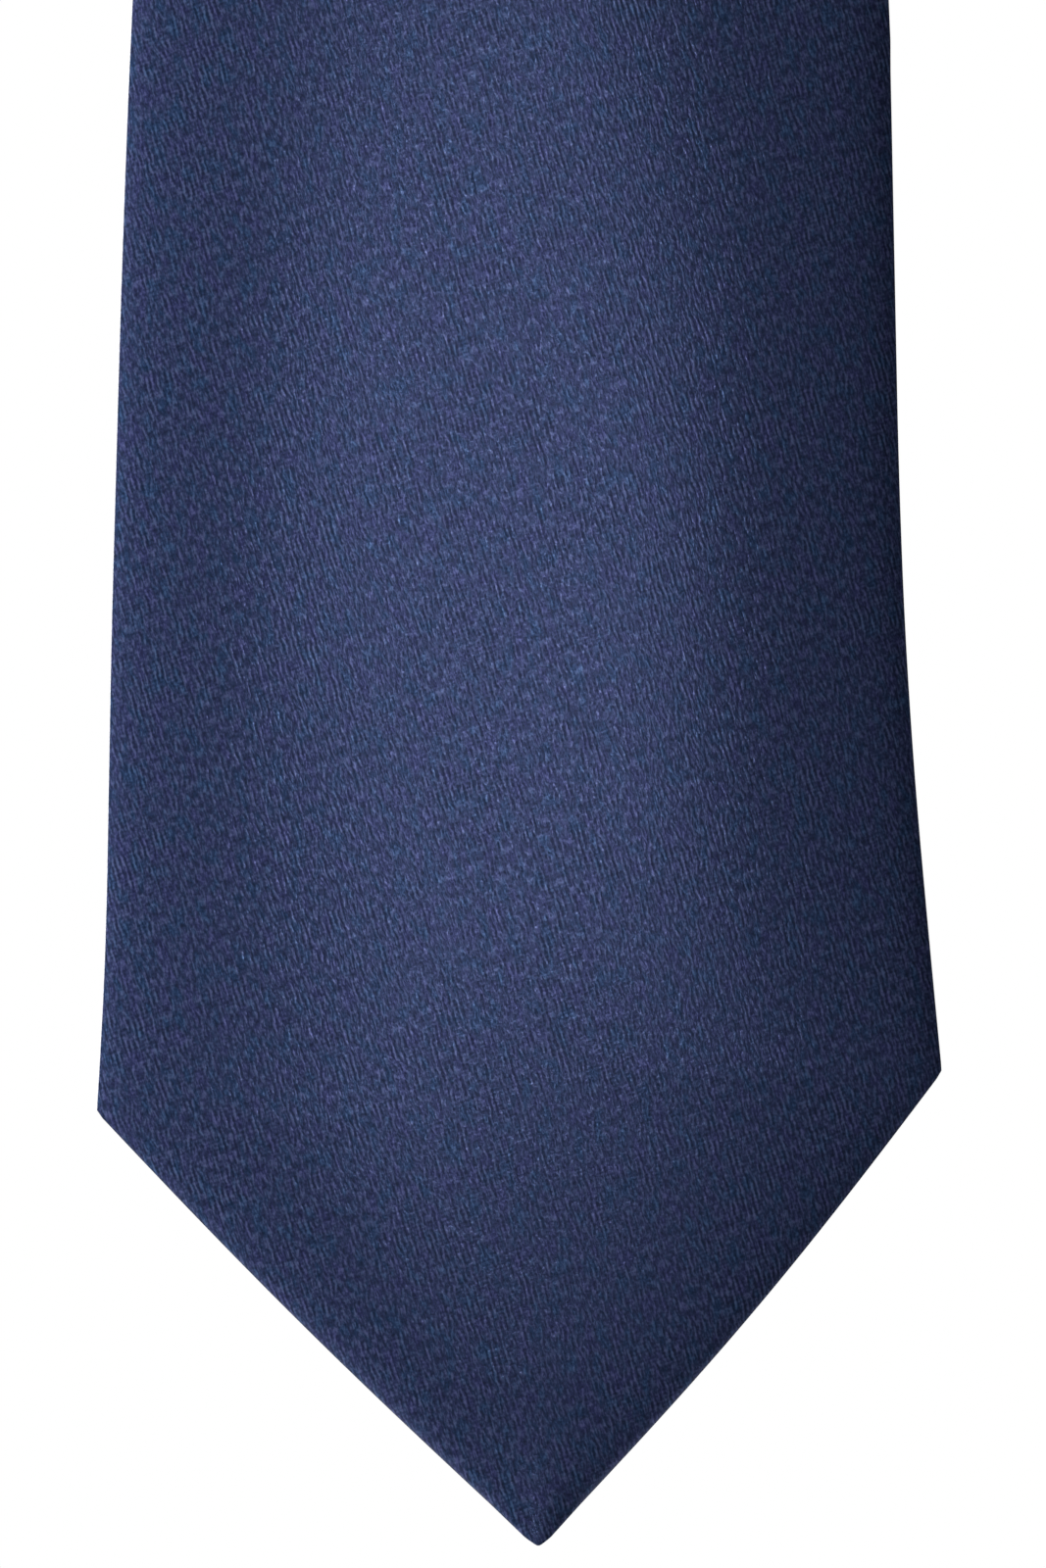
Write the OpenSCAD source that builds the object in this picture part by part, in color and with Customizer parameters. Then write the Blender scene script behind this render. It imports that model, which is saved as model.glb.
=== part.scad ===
// Necktie, sewn, untied, hanging over a round rail at the neck.
// Millimetres. Origin on the rail's axis, at the middle of the neck.
// +Z up, +X to the right as the wide blade's face is seen, -Y the way that face looks.

/* [Lengths] */
// Whole length, tip to tip along the cloth
total_length = 1480; // [1350:5:1650]
// How far the wide blade's tip hangs below the rail's axis
front_drop = 880; // [700:5:950]
// Length of the front panel, from the wide tip to its seam with the neck panel
front_panel = 740; // [600:5:850]
// Length of the neck panel between the two slanted seams
neck_panel = 330; // [200:5:450]

/* [Widths] */
// Wide blade across its two corners
blade_width = 85; // [60:0.5:100]
// Narrow blade across its two corners
tail_width = 42; // [30:0.5:60]
// Neck, where the tie is narrowest
neck_width = 34; // [26:0.5:40]
// Width the wide blade loses in each millimetre of length
blade_taper = 0.079; // [0.05:0.001:0.12]

/* [Wide point] */
// Height of the wide blade's point, from the corners' mean level to the tip
point_depth = 45.5; // [35:0.5:55]
// How much lower the left corner hangs than the right one
corner_skew = 3.5; // [0:0.5:6]
// How far the tip sits right of the middle
tip_offset = 1.9; // [-4:0.1:4]
// Width of the blunted tip
tip_blunt = 2.6; // [0:0.1:5]
// How far the right edge waists in before it flares to its corner
edge_waist = 1.2; // [0:0.1:3]
// Length of that flare
flare_length = 32; // [15:1:60]
// How far the blade leans to the left above its point
blade_lean = 0.65; // [0:0.05:2]

/* [Cloth] */
// Thickness of the folded, lined tie
thickness = 3.0; // [2:0.1:5]
// Thickness of one ply of shell cloth with its turning
ply = 0.5; // [0.3:0.05:0.8]
// Thickness of the rolled edge, seen from the side
edge_roll = 0.6; // [0.4:0.05:1.2]
// Thickness of the lining (tipping) cloth
tipping_ply = 0.3; // [0.15:0.05:0.5]
// Width of the turned hem round a point
hem_width = 6; // [3:0.5:12]
// Opening between the two folded back edges
back_slit = 0.4; // [0.1:0.1:1]

/* [Rail] */
// Diameter of the rail that the tie hangs over
rail_diameter = 25; // [10:1:40]
// Slack between rail and cloth, on the radius
rail_slack = 0.2; // [0.05:0.05:0.5]

/* [Keeper and labels] */
// Height of the keeper loop above the wide tip
keeper_height = 220; // [150:5:300]
// Length of the keeper loop from one sewn end to the other
keeper_span = 52; // [44:1:60]
// Width of the keeper's strap
keeper_strap = 11; // [8:0.5:16]
// Room behind the strap, for the narrow blade
keeper_gap = 6; // [4.5:0.5:8]
// Maker's label, width and height
label_size = [50, 26]; // [10:1:60]
// Care label, width and height
care_size = [18, 24]; // [10:1:40]

/* [Stitches] */
// Distance from one slip stitch to the next
slip_pitch = 10; // [6:0.5:15]
// Radius of the sewing thread
thread_r = 0.15; // [0.1:0.01:0.3]

/* [Hidden] */
$fn = 48;
FRONT = -1;
TAIL = 1;
gap = 0.5;                       // between pieces of two bodies, along the tie
fit = 0.1;                       // between plies of one body
inner_r = rail_diameter / 2 + rail_slack;
outer_r = inner_r + thickness;
fold_length = PI * (inner_r + thickness / 2);
tail_drop = total_length - front_drop - fold_length;

front_tip_z = -front_drop;
tail_tip_z = -tail_drop;
corner_z = front_tip_z + point_depth;
corner_left_z = corner_z - corner_skew / 2;
corner_right_z = corner_z + corner_skew / 2;
lean_z = front_tip_z + 156;
front_split_z = -front_drop / 2;
front_seam_z = front_tip_z + front_panel;
front_meet_z = corner_z + blade_width / 2 - 1;

tail_corner_z = tail_tip_z + tail_width / 2;
tail_meet_z = tail_corner_z + tail_width / 2 - 1;
tail_seam_z = -(neck_panel - fold_length + front_seam_z);
tail_split_z = tail_seam_z - 110;
swing_z = -20;                   // where the tail leg starts to swing
seam_rise = neck_width / 2;      // the slanted seams lie at 45 degrees

// Depths below the outer face: face ply, interlining, tipping, hem, back flaps.
wool = [ply + 0.35, 1.95];
lining = [2.0, 2.0 + tipping_ply];
hem_depth = [2.0, 2.4];

keeper_z = front_tip_z + keeper_height;
keeper_axis_y = -inner_r + 0.6;
label_z = keeper_z - 45;
care_top_z = keeper_z + 50;
care_x = 12;
care_y = -inner_r + 0.6;
care_ply = 0.2;

SATIN = [0.20, 0.23, 0.36];
LINING = [0.12, 0.14, 0.24];
WOOL = [0.84, 0.81, 0.74];
THREAD = [0.16, 0.19, 0.31];
LABEL = [0.10, 0.12, 0.21];
CARE = [0.90, 0.90, 0.88];

// ---- helpers ----

// A flat ply between two depths under the outer face of the front or the tail.
module ply_at(side, depths) {
    thick = depths[1] - depths[0];
    near = side == FRONT ? -outer_r + depths[0] : outer_r - depths[1];
    translate([0, near + thick, 0]) rotate([90, 0, 0]) linear_extrude(thick) children();
}

// The y of a depth under the outer face.
function y_at(side, depth) = side * (outer_r - depth);

// Half the wide blade's width at a height above its point.
function front_half(z) = max(neck_width / 2, (blade_width - blade_taper * (z - corner_z)) / 2);

// Half the tail's width: it widens evenly from the rail to its corners.
function tail_half(z) =
    (neck_width + (tail_width - neck_width) * max(0, swing_z - z) / (swing_z - tail_corner_z)) / 2;

// Left and right edges of the wide blade, from a cut down to the corners.
function left_edge(top, inset) = [
    [-front_half(top) + inset, top],
    [-front_half(lean_z) - blade_lean + inset, lean_z],
    [-blade_width / 2 + inset, corner_left_z + inset * (sqrt(2) - 1)]
];
function right_edge(top, inset) = [
    [blade_width / 2 - inset, corner_right_z + inset * (sqrt(2) - 1)],
    [front_half(corner_z + flare_length) - edge_waist - inset, corner_right_z + flare_length],
    [front_half(lean_z) - blade_lean - inset, lean_z],
    [front_half(top) - inset, top]
];
function wide_tip(inset) = [
    [tip_offset - tip_blunt / 2, front_tip_z + tip_blunt * 0.42 + inset * sqrt(2)],
    [tip_offset - tip_blunt / 6, front_tip_z + inset * sqrt(2)],
    [tip_offset + tip_blunt / 6, front_tip_z + inset * sqrt(2)],
    [tip_offset + tip_blunt / 2, front_tip_z + tip_blunt * 0.46 + inset * sqrt(2)]
];

// Outline of the wide blade, cut off level at its top, shrunk all round by inset.
module wide_outline(top, inset = 0) {
    polygon(concat(left_edge(top, inset), wide_tip(inset), right_edge(top, inset)));
}

// The wide blade's point alone, up to the corners, shrunk by inset.
module wide_point(inset = 0) {
    rise = inset * (sqrt(2) - 1);
    polygon(concat(
        [[-blade_width / 2 + inset, corner_left_z + rise]], wide_tip(inset),
        [[blade_width / 2 - inset, corner_right_z + rise]]
    ));
}

// One back flap of the wide blade: side is -1 for the left, 1 for the right.
module wide_flap(side, top) {
    edge = side < 0 ? left_edge(top, 0) : right_edge(top, 0);
    slit = side * back_slit / 2;
    polygon(concat(
        [[slit, top]], side < 0 ? edge : [edge[3], edge[2], edge[1], edge[0]],
        [[side * (blade_width / 2 - 1.5), corner_z + 2], [slit, front_meet_z]]
    ));
}

// Outline of the tail, cut off level at its top.
module tail_outline(top, inset = 0) {
    half = tail_width / 2;
    rise = inset * (sqrt(2) - 1);
    polygon([
        [-tail_half(top) + inset, top], [-half + inset, tail_corner_z + rise],
        [-1, tail_tip_z + 1 + inset * sqrt(2)], [0, tail_tip_z + 0.4 + inset * sqrt(2)],
        [1, tail_tip_z + 1 + inset * sqrt(2)],
        [half - inset, tail_corner_z + rise], [tail_half(top) - inset, top]
    ]);
}

module tail_point(inset = 0) {
    half = tail_width / 2 - inset;
    rise = inset * (sqrt(2) - 1);
    polygon([
        [-half, tail_corner_z + rise],
        [-1, tail_tip_z + 1 + inset * sqrt(2)], [0, tail_tip_z + 0.4 + inset * sqrt(2)],
        [1, tail_tip_z + 1 + inset * sqrt(2)], [half, tail_corner_z + rise]
    ]);
}

module tail_flap(side, top) {
    polygon([
        [side * back_slit / 2, top], [side * tail_half(top), top],
        [side * tail_width / 2, tail_corner_z], [side * (tail_width / 2 - 1), tail_corner_z + 1.5],
        [side * back_slit / 2, tail_meet_z]
    ]);
}

// A strip with both edges straight. Its ends slant by rise, lower on the slant's own side.
module strip(half_top, half_bottom, top, bottom, inset = 0, rise_top = 0, rise_bottom = 0) {
    polygon([
        [-half_top + inset, top + rise_top], [-half_bottom + inset, bottom + rise_bottom],
        [half_bottom - inset, bottom - rise_bottom], [half_top - inset, top - rise_top]
    ]);
}

// A flat sleeve: a face ply, two rolled edges and two back flaps with the slit between.
module sleeve(side, half_top, half_bottom, top, bottom, rise_top = 0, rise_bottom = 0) {
    past = 30;                   // the cavity runs this far beyond both slanted ends
    more = (half_bottom - half_top) / (top - bottom) * past;
    difference() {
        ply_at(side, [0, thickness])
            strip(half_top, half_bottom, top, bottom, 0, rise_top, rise_bottom);
        ply_at(side, [ply, thickness - ply])
            strip(half_top - more, half_bottom + more, top + past, bottom - past, edge_roll);
        ply_at(side, [thickness - ply - 0.2, thickness + 1])
            strip(back_slit / 2, back_slit / 2, top + past, bottom - past);
    }
}

// Half a turn round the rail, from the front leg over the top to the tail leg.
module over_rail(from_r, to_r, half) {
    rotate([0, 90, 0]) rotate([0, 0, 90]) rotate_extrude(angle = 180)
        translate([from_r, -half]) square([to_r - from_r, 2 * half]);
}

// A row of slanted slip stitches on the back, along the slit.
module slip_row(side, low, high) {
    count = floor((high - low) / slip_pitch);
    y = y_at(side, thickness + thread_r + 0.03);
    for (i = [0 : count - 1])
        translate([0, y, low + (i + 0.5) * slip_pitch]) rotate([0, 28, 0])
            cylinder(h = 3.4, r = thread_r, center = true, $fn = 16);
}

// A straight row of running stitches between two points of the XZ plane.
module running_row(side, depth, a, b, pitch, length) {
    run = norm(b - a);
    step = (b - a) / run;
    tilt = atan2(step[0], step[1]);
    for (s = [pitch / 2 : pitch : run - pitch / 2])
        translate([a[0] + step[0] * s, y_at(side, depth), a[1] + step[1] * s])
            rotate([0, tilt, 0]) cube([0.35, 0.2, length], center = true);
}

// ---- front panel ----

// Shell of the wide blade below the fold line: face, rolled edges, hem and back flaps.
module front_shell_lower() {
    top = front_split_z - gap / 2;
    color(SATIN) difference() {
        union() {
            ply_at(FRONT, [0, hem_depth[1]]) wide_outline(top);
            ply_at(FRONT, [0, thickness]) wide_flap(-1, top);
            ply_at(FRONT, [0, thickness]) wide_flap(1, top);
        }
        ply_at(FRONT, [ply, hem_depth[0]]) wide_outline(top + 1, edge_roll);
        ply_at(FRONT, [hem_depth[0] - 0.1, thickness - ply]) difference() {
            wide_outline(top + 1, edge_roll);
            hem_band();
        }
        ply_at(FRONT, [thickness - ply - 0.1, thickness + 1])
            strip(back_slit / 2, back_slit / 2, top + 1, front_meet_z - 1);
    }
}

// Everything within a hem's width of the wide point's two slanted edges.
module hem_band() {
    difference() {
        translate([-blade_width, front_tip_z - 5])
            square([2 * blade_width, corner_z - front_tip_z + 3]);
        wide_point(hem_width);
        translate([-blade_width, corner_z - 2.2]) square([2 * blade_width, 10]);
    }
}

// Shell of the wide blade above the fold line, up to the slanted seam.
module front_shell_upper() {
    half_low = front_half(front_split_z);
    narrow_z = corner_z + (blade_width - neck_width) / blade_taper;
    color(SATIN) difference() {
        union() {
            ply_at(FRONT, [0, thickness])
                strip(neck_width / 2, half_low, narrow_z, front_split_z + gap / 2);
            ply_at(FRONT, [0, thickness])
                strip(neck_width / 2, neck_width / 2, front_seam_z, narrow_z - 0.01, 0, -seam_rise);
        }
        ply_at(FRONT, [ply, thickness - ply]) union() {
            strip(neck_width / 2, half_low, narrow_z, front_split_z, edge_roll);
            strip(neck_width / 2, neck_width / 2, front_seam_z + 20, narrow_z - 0.01, edge_roll);
        }
        ply_at(FRONT, [thickness - ply - 0.1, thickness + 1])
            strip(back_slit / 2, back_slit / 2, front_seam_z + 20, front_split_z - 1);
    }
}

// ---- neck panel ----

// Neck panel from the front seam over the rail to where the tail starts to swing.
module neck_gusset_fold() {
    half = neck_width / 2;
    color(SATIN) difference() {
        union() {
            ply_at(FRONT, [0, thickness]) strip(half, half, 0, front_seam_z, 0, 0, -seam_rise);
            over_rail(inner_r, outer_r, half);
            ply_at(TAIL, [0, thickness]) strip(half, half, 0, swing_z + gap / 2);
        }
        ply_at(FRONT, [ply, thickness - ply]) strip(half, half, 0, front_seam_z - 20, edge_roll);
        over_rail(inner_r + ply, outer_r - ply, half - edge_roll);
        ply_at(TAIL, [ply, thickness - ply]) strip(half, half, 0, swing_z - 1, edge_roll);
    }
}

// Neck panel behind the rail, down to the tail's slanted seam.
module neck_gusset_tail_leg() {
    color(SATIN)
        sleeve(TAIL, tail_half(swing_z), tail_half(tail_seam_z), swing_z - gap / 2, tail_seam_z,
               0, seam_rise);
}

// ---- tail panel ----

// Shell of the tail from its slanted seam to its fold line.
module tail_shell_upper() {
    color(SATIN)
        sleeve(TAIL, tail_half(tail_seam_z), tail_half(tail_split_z), tail_seam_z,
               tail_split_z + gap / 2, seam_rise, 0);
}

// Shell of the tail's end: face, rolled edges, hem and back flaps.
module tail_shell_lower() {
    top = tail_split_z - gap / 2;
    color(SATIN) difference() {
        union() {
            ply_at(TAIL, [0, hem_depth[1]]) tail_outline(top);
            ply_at(TAIL, [0, thickness]) tail_flap(-1, top);
            ply_at(TAIL, [0, thickness]) tail_flap(1, top);
        }
        ply_at(TAIL, [ply, hem_depth[0]]) tail_outline(top + 1, edge_roll);
        ply_at(TAIL, [hem_depth[0] - 0.1, thickness - ply]) difference() {
            tail_outline(top + 1, edge_roll);
            difference() {
                translate([-tail_width, tail_tip_z - 5])
                    square([2 * tail_width, tail_corner_z - tail_tip_z + 4]);
                tail_point(hem_width - 1);
            }
        }
        ply_at(TAIL, [thickness - ply - 0.1, thickness + 1])
            strip(back_slit / 2, back_slit / 2, top + 1, tail_meet_z - 1);
    }
}

// ---- interlining ----

module interlining_front_lower() {
    color(WOOL) ply_at(FRONT, wool) wide_outline(front_split_z - gap / 2, edge_roll + fit);
}

module interlining_front_upper() {
    narrow_z = corner_z + (blade_width - neck_width) / blade_taper;
    color(WOOL) ply_at(FRONT, wool) polygon([
        [-neck_width / 2 + edge_roll + fit, front_seam_z - seam_rise],
        [-neck_width / 2 + edge_roll + fit, narrow_z],
        [-front_half(front_split_z) + edge_roll + fit, front_split_z + gap / 2],
        [front_half(front_split_z) - edge_roll - fit, front_split_z + gap / 2],
        [neck_width / 2 - edge_roll - fit, narrow_z],
        [neck_width / 2 - edge_roll - fit, front_seam_z - seam_rise]
    ]);
}

module interlining_neck() {
    half = neck_width / 2 - edge_roll - fit;
    color(WOOL) union() {
        ply_at(FRONT, wool) strip(half, half, 0, front_seam_z - seam_rise);
        over_rail(outer_r - wool[1], outer_r - wool[0], half);
        ply_at(TAIL, wool) strip(half, half, 0, swing_z + gap / 2);
    }
}

module interlining_tail_upper() {
    color(WOOL) ply_at(TAIL, wool)
        strip(tail_half(swing_z), tail_half(tail_split_z), swing_z - gap / 2,
              tail_split_z + gap / 2, edge_roll + fit);
}

module interlining_tail_lower() {
    color(WOOL) ply_at(TAIL, wool) tail_outline(tail_split_z - gap / 2, edge_roll + fit);
}

// ---- tipping, the lining that shows behind each point ----

module tipping_front() {
    top = front_tip_z + 150;
    color(LINING) ply_at(FRONT, lining) union() {
        wide_point(hem_width + fit);
        polygon([
            [-blade_width / 2 + hem_width + 2, corner_z - 2], [blade_width / 2 - hem_width - 2, corner_z - 2],
            [blade_width / 2 - 2, corner_z + 3], [front_half(top) - 3, top],
            [-front_half(top) + 2, top], [-blade_width / 2 + 2, corner_z + 3]
        ]);
    }
}

module tipping_tail() {
    top = tail_tip_z + 90;
    half = tail_width / 2;
    color(LINING) ply_at(TAIL, lining) union() {
        tail_point(hem_width - 1 + fit);
        polygon([
            [-half + hem_width, tail_corner_z - 1], [half - hem_width, tail_corner_z - 1],
            [half - 1.5, tail_corner_z + 3], [tail_half(top) - 1.5, top],
            [-tail_half(top) + 1.5, top], [-half + 1.5, tail_corner_z + 3]
        ]);
    }
}

// The seam that joins the tipping to the hem, a row of short stitches beside each slanted edge.
module tipping_seam_front() {
    inset = hem_width - 1.2;
    tip = [tip_offset, front_tip_z + inset * sqrt(2)];
    color(THREAD) {
        running_row(FRONT, hem_depth[1] + 0.13, tip + [-3, 3],
                    [-blade_width / 2 + inset + 2, corner_left_z], 3, 1.8);
        running_row(FRONT, hem_depth[1] + 0.13, tip + [3, 3.4],
                    [blade_width / 2 - inset - 2, corner_right_z - 2], 3, 1.8);
    }
}

module tipping_seam_tail() {
    inset = hem_width - 2.2;
    tip = [0, tail_tip_z + inset * sqrt(2)];
    color(THREAD) for (side = [-1, 1])
        running_row(TAIL, hem_depth[1] + 0.13, tip + [side * 2.5, 2.5],
                    [side * (tail_width / 2 - inset - 1.5), tail_corner_z - 1.5], 3, 1.8);
}

// ---- seams between the panels ----

module gusset_seam_front() {
    half = neck_width / 2 - 1.5;
    color(THREAD) running_row(FRONT, ply + 0.18, [-half, front_seam_z - half],
                              [half, front_seam_z + half], 2.6, 1.9);
}

module gusset_seam_tail() {
    half = tail_half(tail_seam_z) - 1.5;
    color(THREAD) running_row(TAIL, ply + 0.18, [-half, tail_seam_z + half],
                              [half, tail_seam_z - half], 2.6, 1.9);
}

// ---- the slip stitch that closes the back ----

module slip_stitch_front_lower() {
    color(THREAD) {
        slip_row(FRONT, front_meet_z + 6, label_z - label_size[1] / 2 - 2);
        slip_row(FRONT, label_z + label_size[1] / 2 + 2, keeper_z - keeper_strap);
        slip_row(FRONT, keeper_z + keeper_strap, front_split_z - 4);
    }
}

module slip_stitch_front_upper() {
    color(THREAD) slip_row(FRONT, front_split_z + 4, front_seam_z - seam_rise);
}

module slip_stitch_tail_upper() {
    color(THREAD) slip_row(TAIL, tail_split_z + 4, swing_z - 10);
}

module slip_stitch_tail_lower() {
    color(THREAD) slip_row(TAIL, tail_meet_z + 6, tail_split_z - 4);
}

// A bar tack across the foot of the slit: a thick bar with three wraps.
module bar_tack(side, z, length) {
    y = y_at(side, thickness + 0.55);
    color(THREAD) {
        translate([0, y, z]) rotate([0, 90, 0])
            cylinder(h = length, r = 0.35, center = true, $fn = 20);
        for (i = [-1, 0, 1]) translate([i * length / 3.5, y, z]) rotate([0, 90, 0])
            cylinder(h = 0.7, r = 0.5, center = true, $fn = 20);
    }
}

module bar_tack_front() bar_tack(FRONT, front_meet_z + 2.5, 7);

module bar_tack_tail() bar_tack(TAIL, tail_meet_z + 2.5, 5);

// ---- keeper ----

// How far the strap stands off, from 0 at a sewn end to 1 over most of its span.
function bow(t) = pow(sin(180 * t), 0.2);

// The keeper's strap bows out from its two sewn ends and narrows to each of them.
module keeper_loop() {
    steps = 16;
    base = keeper_axis_y;
    lift = keeper_gap - 0.6;
    strap_t = 0.8;
    inner = [for (i = [0 : steps]) [keeper_span * (i / steps - 0.5), base + lift * bow(i / steps)]];
    outer = [for (i = [steps : -1 : 0])
        [keeper_span * (i / steps - 0.5) * 1.01, base + lift * bow(i / steps) + strap_t]];
    color(SATIN) intersection() {
        translate([0, 0, keeper_z - keeper_strap / 2])
            linear_extrude(keeper_strap) polygon(concat(inner, outer));
        translate([-keeper_span, 0, keeper_z]) rotate([90, 0, 90])
            linear_extrude(2 * keeper_span) polygon([
                [base - 1, -0.8], [base + 0.2, -0.8], [base + lift * 0.55, -keeper_strap / 2],
                [base + lift + 2, -keeper_strap / 2], [base + lift + 2, keeper_strap / 2],
                [base + lift * 0.55, keeper_strap / 2], [base + 0.2, 0.8], [base - 1, 0.8]
            ]);
    }
}

// A bar tack beside each end of the keeper.
module keeper_tack(side) {
    color(THREAD) translate([side * (keeper_span / 2 + 1.1), -inner_r + 0.38, keeper_z])
        cylinder(h = keeper_strap * 0.6, r = 0.35, center = true, $fn = 20);
}

module keeper_tack_left() keeper_tack(-1);

module keeper_tack_right() keeper_tack(1);

// ---- labels ----

module maker_label() {
    color(LABEL) translate([0, -inner_r + 0.04 + 0.13, label_z])
        cube([label_size[0], 0.26, label_size[1]], center = true);
}

// The label's two short ends are sewn down.
module maker_label_stitches() {
    y = thickness + 0.04 + 0.26 + 0.14;
    half = [label_size[0] / 2 - 1.5, label_size[1] / 2 - 1];
    color(THREAD) for (side = [-1, 1])
        running_row(FRONT, y, [side * half[0], label_z - half[1]],
                    [side * half[0], label_z + half[1]], 2.6, 1.7);
}

module care_label() {
    color(CARE) translate([care_x, care_y, care_top_z - care_size[1] / 2 - 0.1])
        cube([care_size[0], care_ply, care_size[1]], center = true);
}

module care_label_stitches() {
    color(THREAD) running_row(FRONT, thickness + 0.13,
        [care_x - care_size[0] / 2, care_top_z + 1.2], [care_x + care_size[0] / 2, care_top_z + 1.2],
        2.6, 1.7);
}

front_shell_lower();
front_shell_upper();
neck_gusset_fold();
neck_gusset_tail_leg();
tail_shell_upper();
tail_shell_lower();
interlining_front_lower();
interlining_front_upper();
interlining_neck();
interlining_tail_upper();
interlining_tail_lower();
tipping_front();
tipping_tail();
tipping_seam_front();
tipping_seam_tail();
gusset_seam_front();
gusset_seam_tail();
slip_stitch_front_lower();
slip_stitch_front_upper();
slip_stitch_tail_upper();
slip_stitch_tail_lower();
bar_tack_front();
bar_tack_tail();
keeper_loop();
keeper_tack_left();
keeper_tack_right();
maker_label();
maker_label_stitches();
care_label();
care_label_stitches();
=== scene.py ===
"""Looks for an untied satin necktie that hangs over a round rail at its neck.

Every cloth piece is worked out on the flat first, in millimetres across the tie (x), below its outer face
(depth) and along it from the wide tip (s). It is then laid along the tie's path: up the front, over the rail
and down behind.
"""

import logging
import math
from collections.abc import Callable, Sequence
from dataclasses import dataclass, field
from enum import Enum
from functools import partial

import bpy
import numpy as np
from mathutils import Euler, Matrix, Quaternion, Vector


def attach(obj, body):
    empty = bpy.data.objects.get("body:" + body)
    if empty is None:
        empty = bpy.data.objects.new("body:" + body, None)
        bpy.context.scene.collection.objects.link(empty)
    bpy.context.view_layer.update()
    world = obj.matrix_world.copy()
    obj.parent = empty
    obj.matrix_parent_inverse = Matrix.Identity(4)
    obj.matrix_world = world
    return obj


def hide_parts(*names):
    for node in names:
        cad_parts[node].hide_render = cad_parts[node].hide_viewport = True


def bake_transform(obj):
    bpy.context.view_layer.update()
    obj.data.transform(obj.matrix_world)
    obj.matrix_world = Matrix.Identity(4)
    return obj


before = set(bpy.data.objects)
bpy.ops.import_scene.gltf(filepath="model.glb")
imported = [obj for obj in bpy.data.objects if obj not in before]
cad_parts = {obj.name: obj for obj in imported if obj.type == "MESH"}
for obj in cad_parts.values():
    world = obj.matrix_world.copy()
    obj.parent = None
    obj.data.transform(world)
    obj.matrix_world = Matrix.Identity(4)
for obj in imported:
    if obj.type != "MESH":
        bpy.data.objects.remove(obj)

LOG = logging.getLogger("necktie")
Array = np.ndarray
Run = tuple[tuple[float, float], ...]
MM = 0.001
# x of the back's two free edges where they lap, in mm.
LAP_LEFT = 3.0
LAP_RIGHT = -1.5
# Depths below the outer face, in mm: the upper flap's free edge, the stitched hems, the lining and the
# canvas's back.
LAP_DEPTH = 3.22
HEM_DEPTH = 2.9
TIPPING_DEPTH = 2.22
CANVAS_BACK = 2.0
# Where the blade is narrower than this, in mm, its pressed layers thin out towards the point.
THIN_BELOW = 9.0
# How far from a slanted seam the rows of the neck and of the tail turn level, in mm.
SEAM_RUN = 70.0
# Radii of the threads, in mm: bar tacks, slip stitches, keeper tacks, hem pricks, labels and machine seams.
BAR_THREAD = 0.18
SLIP_THREAD = 0.17
KEEPER_THREAD = 0.15
PRICK_THREAD = 0.11
LABEL_THREAD = 0.1
SEAM_THREAD = 0.09
# Spacings of the slip stitches and of the hem pricks, in mm.
SLIP_PITCH = 10.0
PRICK_PITCH = 2.1


class Slot(Enum):
    """The record's material slots."""

    SATIN = "silk_satin"
    TIPPING = "tipping_lining"
    WOOL = "wool_interlining"
    THREAD = "sewing_thread"
    LABEL = "label_weave"
    CARE = "care_ribbon"


class Side(Enum):
    """A half of the tie, as its face is seen."""

    LEFT = -1
    RIGHT = 1


class Window(Enum):
    """The outline of a softbox, as Blender names it."""

    OBLONG = "RECTANGLE"
    OVAL = "ELLIPSE"


# ---------------------------------------------------------------- small sums


def smooth(t: Array | float) -> Array | float:
    """Ease from 0 to 1 with level ends.

    Args:
        t: how far along, clipped to 0 to 1.

    Returns:
        The eased value.
    """
    t = np.clip(t, 0.0, 1.0)
    return t * t * (3 - 2 * t)


def soft_min(a: float, b: float, k: float) -> float:
    """The smaller of two values, rounded over where they cross.

    Args:
        a: one value.
        b: the other.
        k: width of the rounding.

    Returns:
        The rounded minimum.
    """
    h = max(k - abs(a - b), 0.0) / k
    return min(a, b) - h * h * k / 4


def linear_from_hex(code: str) -> tuple[float, float, float, float]:
    """Turn an sRGB hex colour into the linear values that shaders take.

    Args:
        code: six hex digits.

    Returns:
        Red, green, blue and an alpha of 1.
    """
    parts = [int(code[i : i + 2], 16) / 255 for i in (0, 2, 4)]
    flat = [c / 12.92 if c <= 0.04045 else ((c + 0.055) / 1.055) ** 2.4 for c in parts]
    return flat[0], flat[1], flat[2], 1.0


# ---------------------------------------------------------------- the hang


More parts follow.
